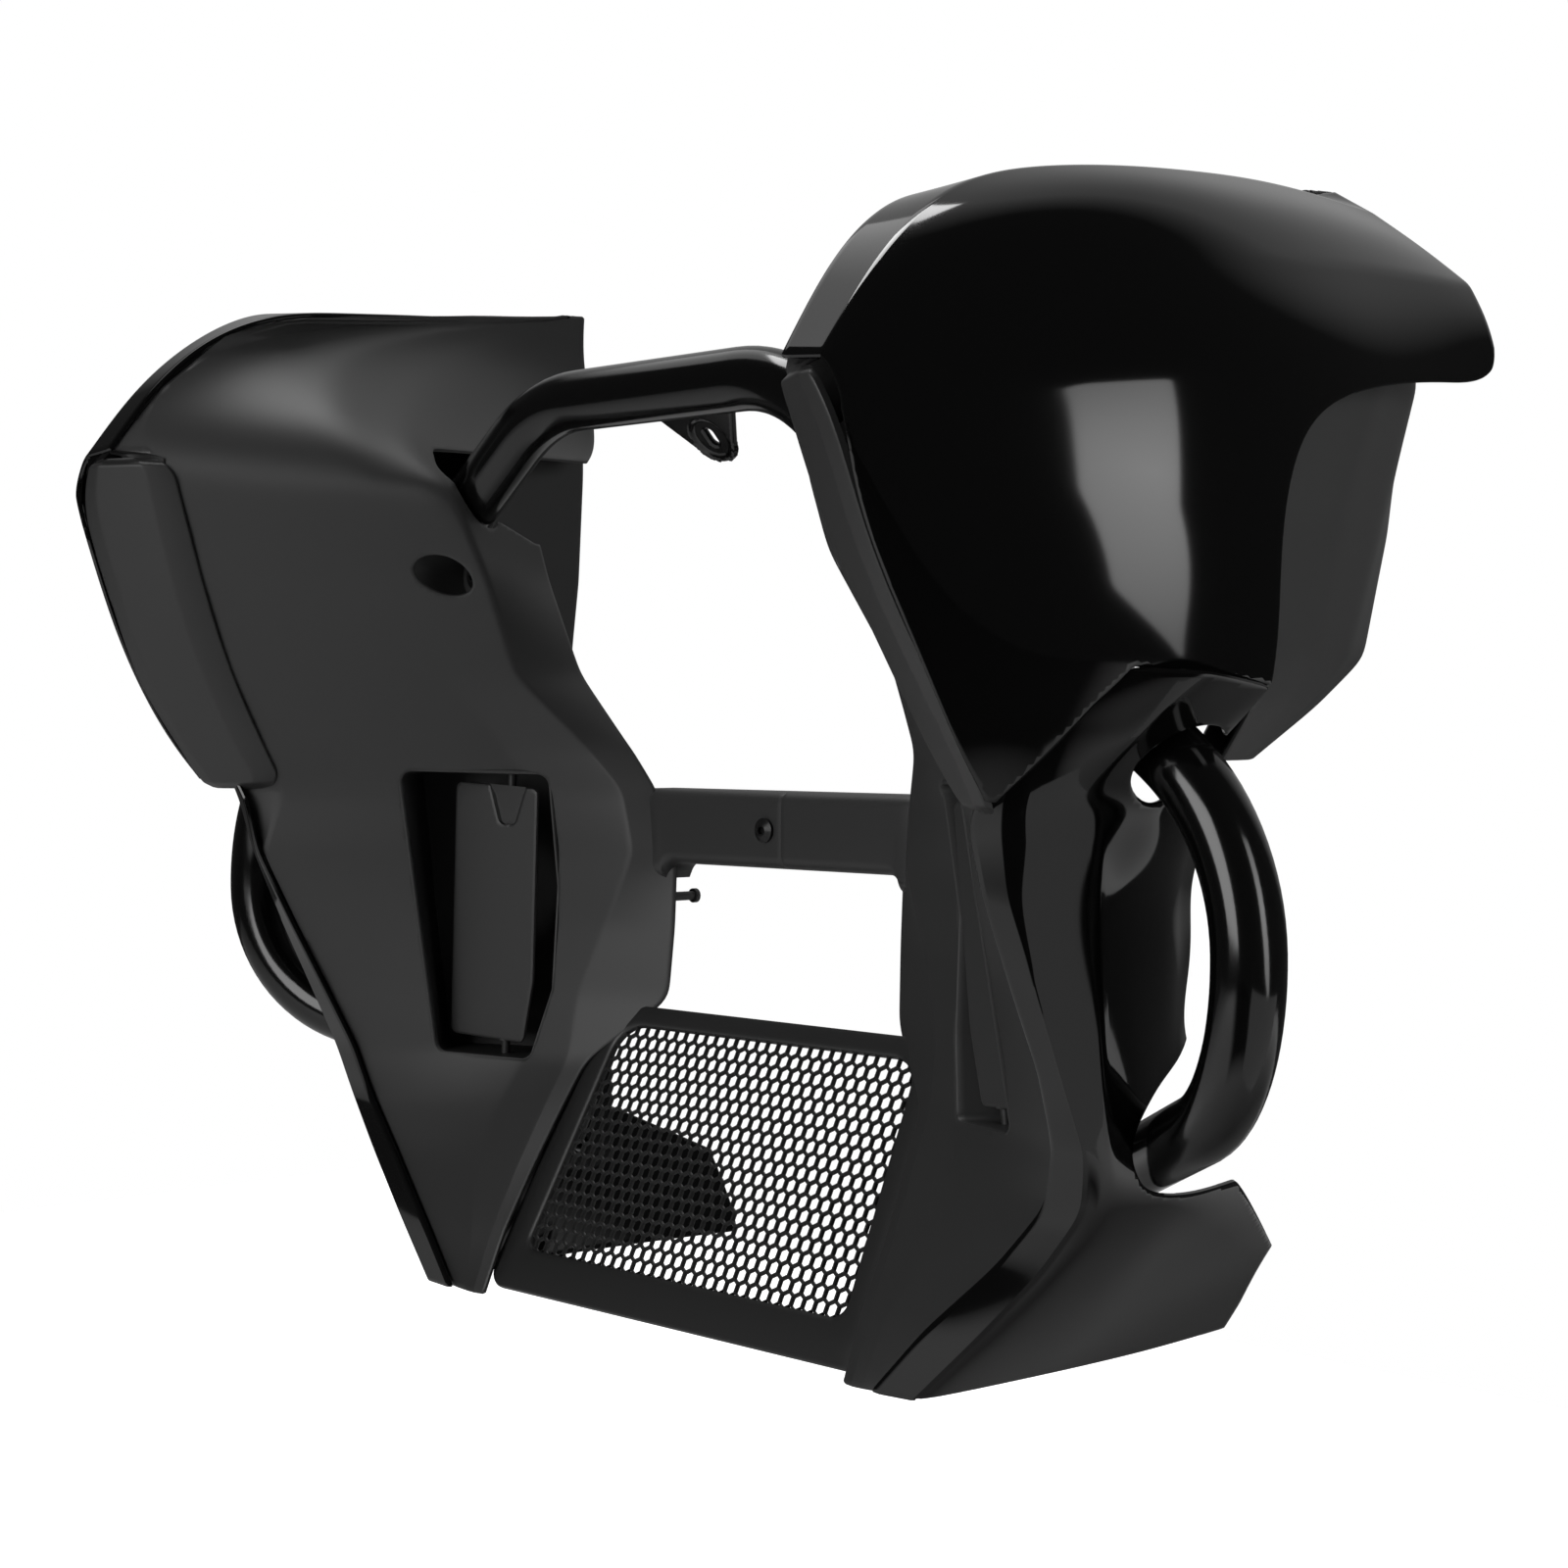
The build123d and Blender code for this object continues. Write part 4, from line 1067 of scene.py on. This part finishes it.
def soft_box(name, place_m, target_m, side_m, watts):
    """A square area lamp that looks at a target."""
    lamp = bpy.data.lights.new(name, "AREA")
    lamp.size = side_m
    lamp.energy = watts
    ob = bpy.data.objects.new(name, lamp)
    aimed(ob, place_m, target_m)
    return ob


centre = (-0.02, 0, -0.18)
soft_box("overhead", (0.1, -0.45, 1.7), centre, 0.7, 11)
soft_box("upper_left", (0.0, -1.2, 1.7), centre, 1.2, 4)
soft_box("front", (1.95, 0.12, 0.22), centre, 1.1, 18)
side_fill = soft_box("side_fill", (-0.9, 1.8, 0.2), centre, 1.0, 24)
side_fill.visible_glossy = False
print("soft boxes set")


# %% Glowing cards
def bare_tree(owner):
    """The emptied node tree of a material or world."""
    owner.use_nodes = True
    owner.node_tree.nodes.clear()
    return owner.node_tree


def compared(tree, operation, source, place=(0, 0, 0)):
    """A vector node that works on a place in the shader and a fixed one."""
    made = node(tree, "ShaderNodeVectorMath", {0: source}, operation)
    made.inputs[1].default_value = place
    return made


def ramp(tree, value, start, end, low, high):
    """Maps a value's stretch from start to end onto low to high."""
    made = node(tree, "ShaderNodeMapRange", {"Value": value},
                From_Min=start, From_Max=end, To_Min=low, To_Max=high)
    return made.outputs["Result"]


def lit_card(name, y, line, middle_z, power_range, reach_m):
    """A flat card facing along Y that glows, from its middle's power to its rim's."""
    card = bpy.data.meshes.new(name)
    card.from_pydata([(x, y, z) for x, z in line], [], [list(range(len(line)))])
    ob = bpy.data.objects.new(name, card)
    bpy.context.scene.collection.objects.link(ob)
    cloth = bpy.data.materials.new(name + "_cloth")
    tree = bare_tree(cloth)
    where = node(tree, "ShaderNodeTexCoord")
    off = compared(tree, "DISTANCE", where.outputs["Object"], (0, y, middle_z))
    power = ramp(tree, off.outputs["Value"], 0, reach_m, *power_range)
    glow = node(tree, "ShaderNodeEmission", {"Strength": power})
    node(tree, "ShaderNodeOutputMaterial", {"Surface": glow.outputs[0]})
    card.materials.append(cloth)
    ob.visible_camera = ob.visible_shadow = False
    return ob


# A tall soft box beside the part, wider above than below, brightest in the middle
box_line = rounded(
    [(0.16, 0.63), (-0.13, 0.57), (-0.08, -0.1), (-0.25, -0.74), (0.1, -0.4), (0.2, -0.1)],
    [0.05, 0.03, 0.2, 0.01, 0.15, 0.2])
side_box = lit_card("side_box", 1.4, box_line, 0.02, (5.0, 2.2), 0.7)
# A small dim card by the guard's loop, which the cowl's neck reflects
low_line = [(-0.01, -0.43), (0.1, -0.43), (0.1, -0.298), (0.092, -0.274), (-0.01, -0.274)]
low_card = lit_card("low_card", 0.44, low_line, -0.33, (0.6, 0.6), 1.0)
print("cards", side_box.name, low_card.name)

# %% Camera
SENSOR_MM, FOCAL_PX, IMAGE_PX = 36.0, 2912.7, 1600
camera = bpy.data.cameras.new("camera")
camera.sensor_width = SENSOR_MM
camera.lens = SENSOR_MM * FOCAL_PX / IMAGE_PX
camera.dof.use_dof = False
view = bpy.data.objects.new("camera", camera)
aimed(view, (0.96988, 1.11300, -0.14579), (-0.05, 0, -0.18))
bpy.context.scene.camera = view
bpy.context.scene.view_settings.view_transform = "Standard"
print("camera", round(camera.lens, 2), "mm lens")


# %% World
def seen_directly(tree):
    """One for rays from the camera, straight or through glass, and zero for all others."""
    ray = node(tree, "ShaderNodeLightPath")
    both = {0: ray.outputs["Is Camera Ray"], 1: ray.outputs["Is Transmission Ray"]}
    return node(tree, "ShaderNodeMath", both, "MAXIMUM").outputs[0]


world = bpy.data.worlds.new("studio")
bpy.context.scene.world = world
tree = bare_tree(world)
where = node(tree, "ShaderNodeTexCoord")
toward = compared(tree, "DOT_PRODUCT", where.outputs["Generated"], (-0.68, -0.35, 0.65))
power = ramp(tree, toward.outputs["Value"], 0.69, 0.86, 0.05, 0.55)
room = node(tree, "ShaderNodeBackground", {"Strength": power})
white = node(tree, "ShaderNodeBackground", Color=(1, 1, 1, 1), Strength=1.0)
either = {0: seen_directly(tree), 1: room.outputs[0], 2: white.outputs[0]}
mixed = node(tree, "ShaderNodeMixShader", either)
node(tree, "ShaderNodeOutputWorld", {"Surface": mixed.outputs[0]})
print("world", world.name)

# %% Floor
FLOOR_DROP = 0.3
floor_z = cad_bounds[0][2] - FLOOR_DROP
bpy.ops.mesh.primitive_plane_add(size=3.5, location=(0.5, -0.4, floor_z))
floor = bpy.context.object
floor.name = "floor"
pale = bpy.data.materials.new("pale_floor_painted_shade")
tree = bare_tree(pale)
where = node(tree, "ShaderNodeTexCoord").outputs["Object"]
# Painted shade in the floor's colour, which the gloss reflects: darker towards a spot behind the
# part
away = compared(tree, "DISTANCE", where, (-0.95, 0.6, 0))
shade = ramp(tree, away.outputs["Value"], 0.35, 0.95, 0.2, 0.9)
# A wedge of painted shadow from under the part towards the camera's side, left out close under the
# part
spoke = compared(tree, "SUBTRACT", where, (-0.45, 0.7, 0)).outputs["Vector"]
reach = compared(tree, "LENGTH", spoke)
near = ramp(tree, reach.outputs["Value"], 0.3, 0.5, 1.0, 0.0)
heading = compared(tree, "NORMALIZE", spoke).outputs["Vector"]
aside = compared(tree, "DOT_PRODUCT", heading, (0.64, 0.77, 0))
sector = ramp(tree, aside.outputs["Value"], 0.6, 0.76, 1.0, 0.03)
outside_shadow_wedge = node(tree, "ShaderNodeMath", {0: sector, 1: near}, "MAXIMUM")
# The floor's colour: both painted shades multiplied together
painted_floor_shade = node(tree, "ShaderNodeMath", {0: shade, 1: outside_shadow_wedge.outputs[0]}, "MULTIPLY")
dull = node(tree, "ShaderNodeBsdfDiffuse", {"Color": painted_floor_shade.outputs[0]})
glow = node(tree, "ShaderNodeEmission", {"Strength": seen_directly(tree)}, Color=(1, 1, 1, 1))
added = node(tree, "ShaderNodeAddShader", {0: glow.outputs[0], 1: dull.outputs[0]})
node(tree, "ShaderNodeOutputMaterial", {"Surface": added.outputs[0]})
floor.data.materials.append(pale)
print("stage set")

# %% [markdown]
# ## Sizes and finish
# The visual's box is printed beside the solids' box. The visual has to stay inside the
# solids' box.

# %% Finish
staged = (floor, side_box, low_card)
shown = [
    o for o in bpy.data.objects if o.type == "MESH" and not o.hide_render and o not in staged
]
final_bounds = bounds(shown)
print("bounds", np.round(cad_bounds, 4).tolist(), np.round(final_bounds, 4).tolist())
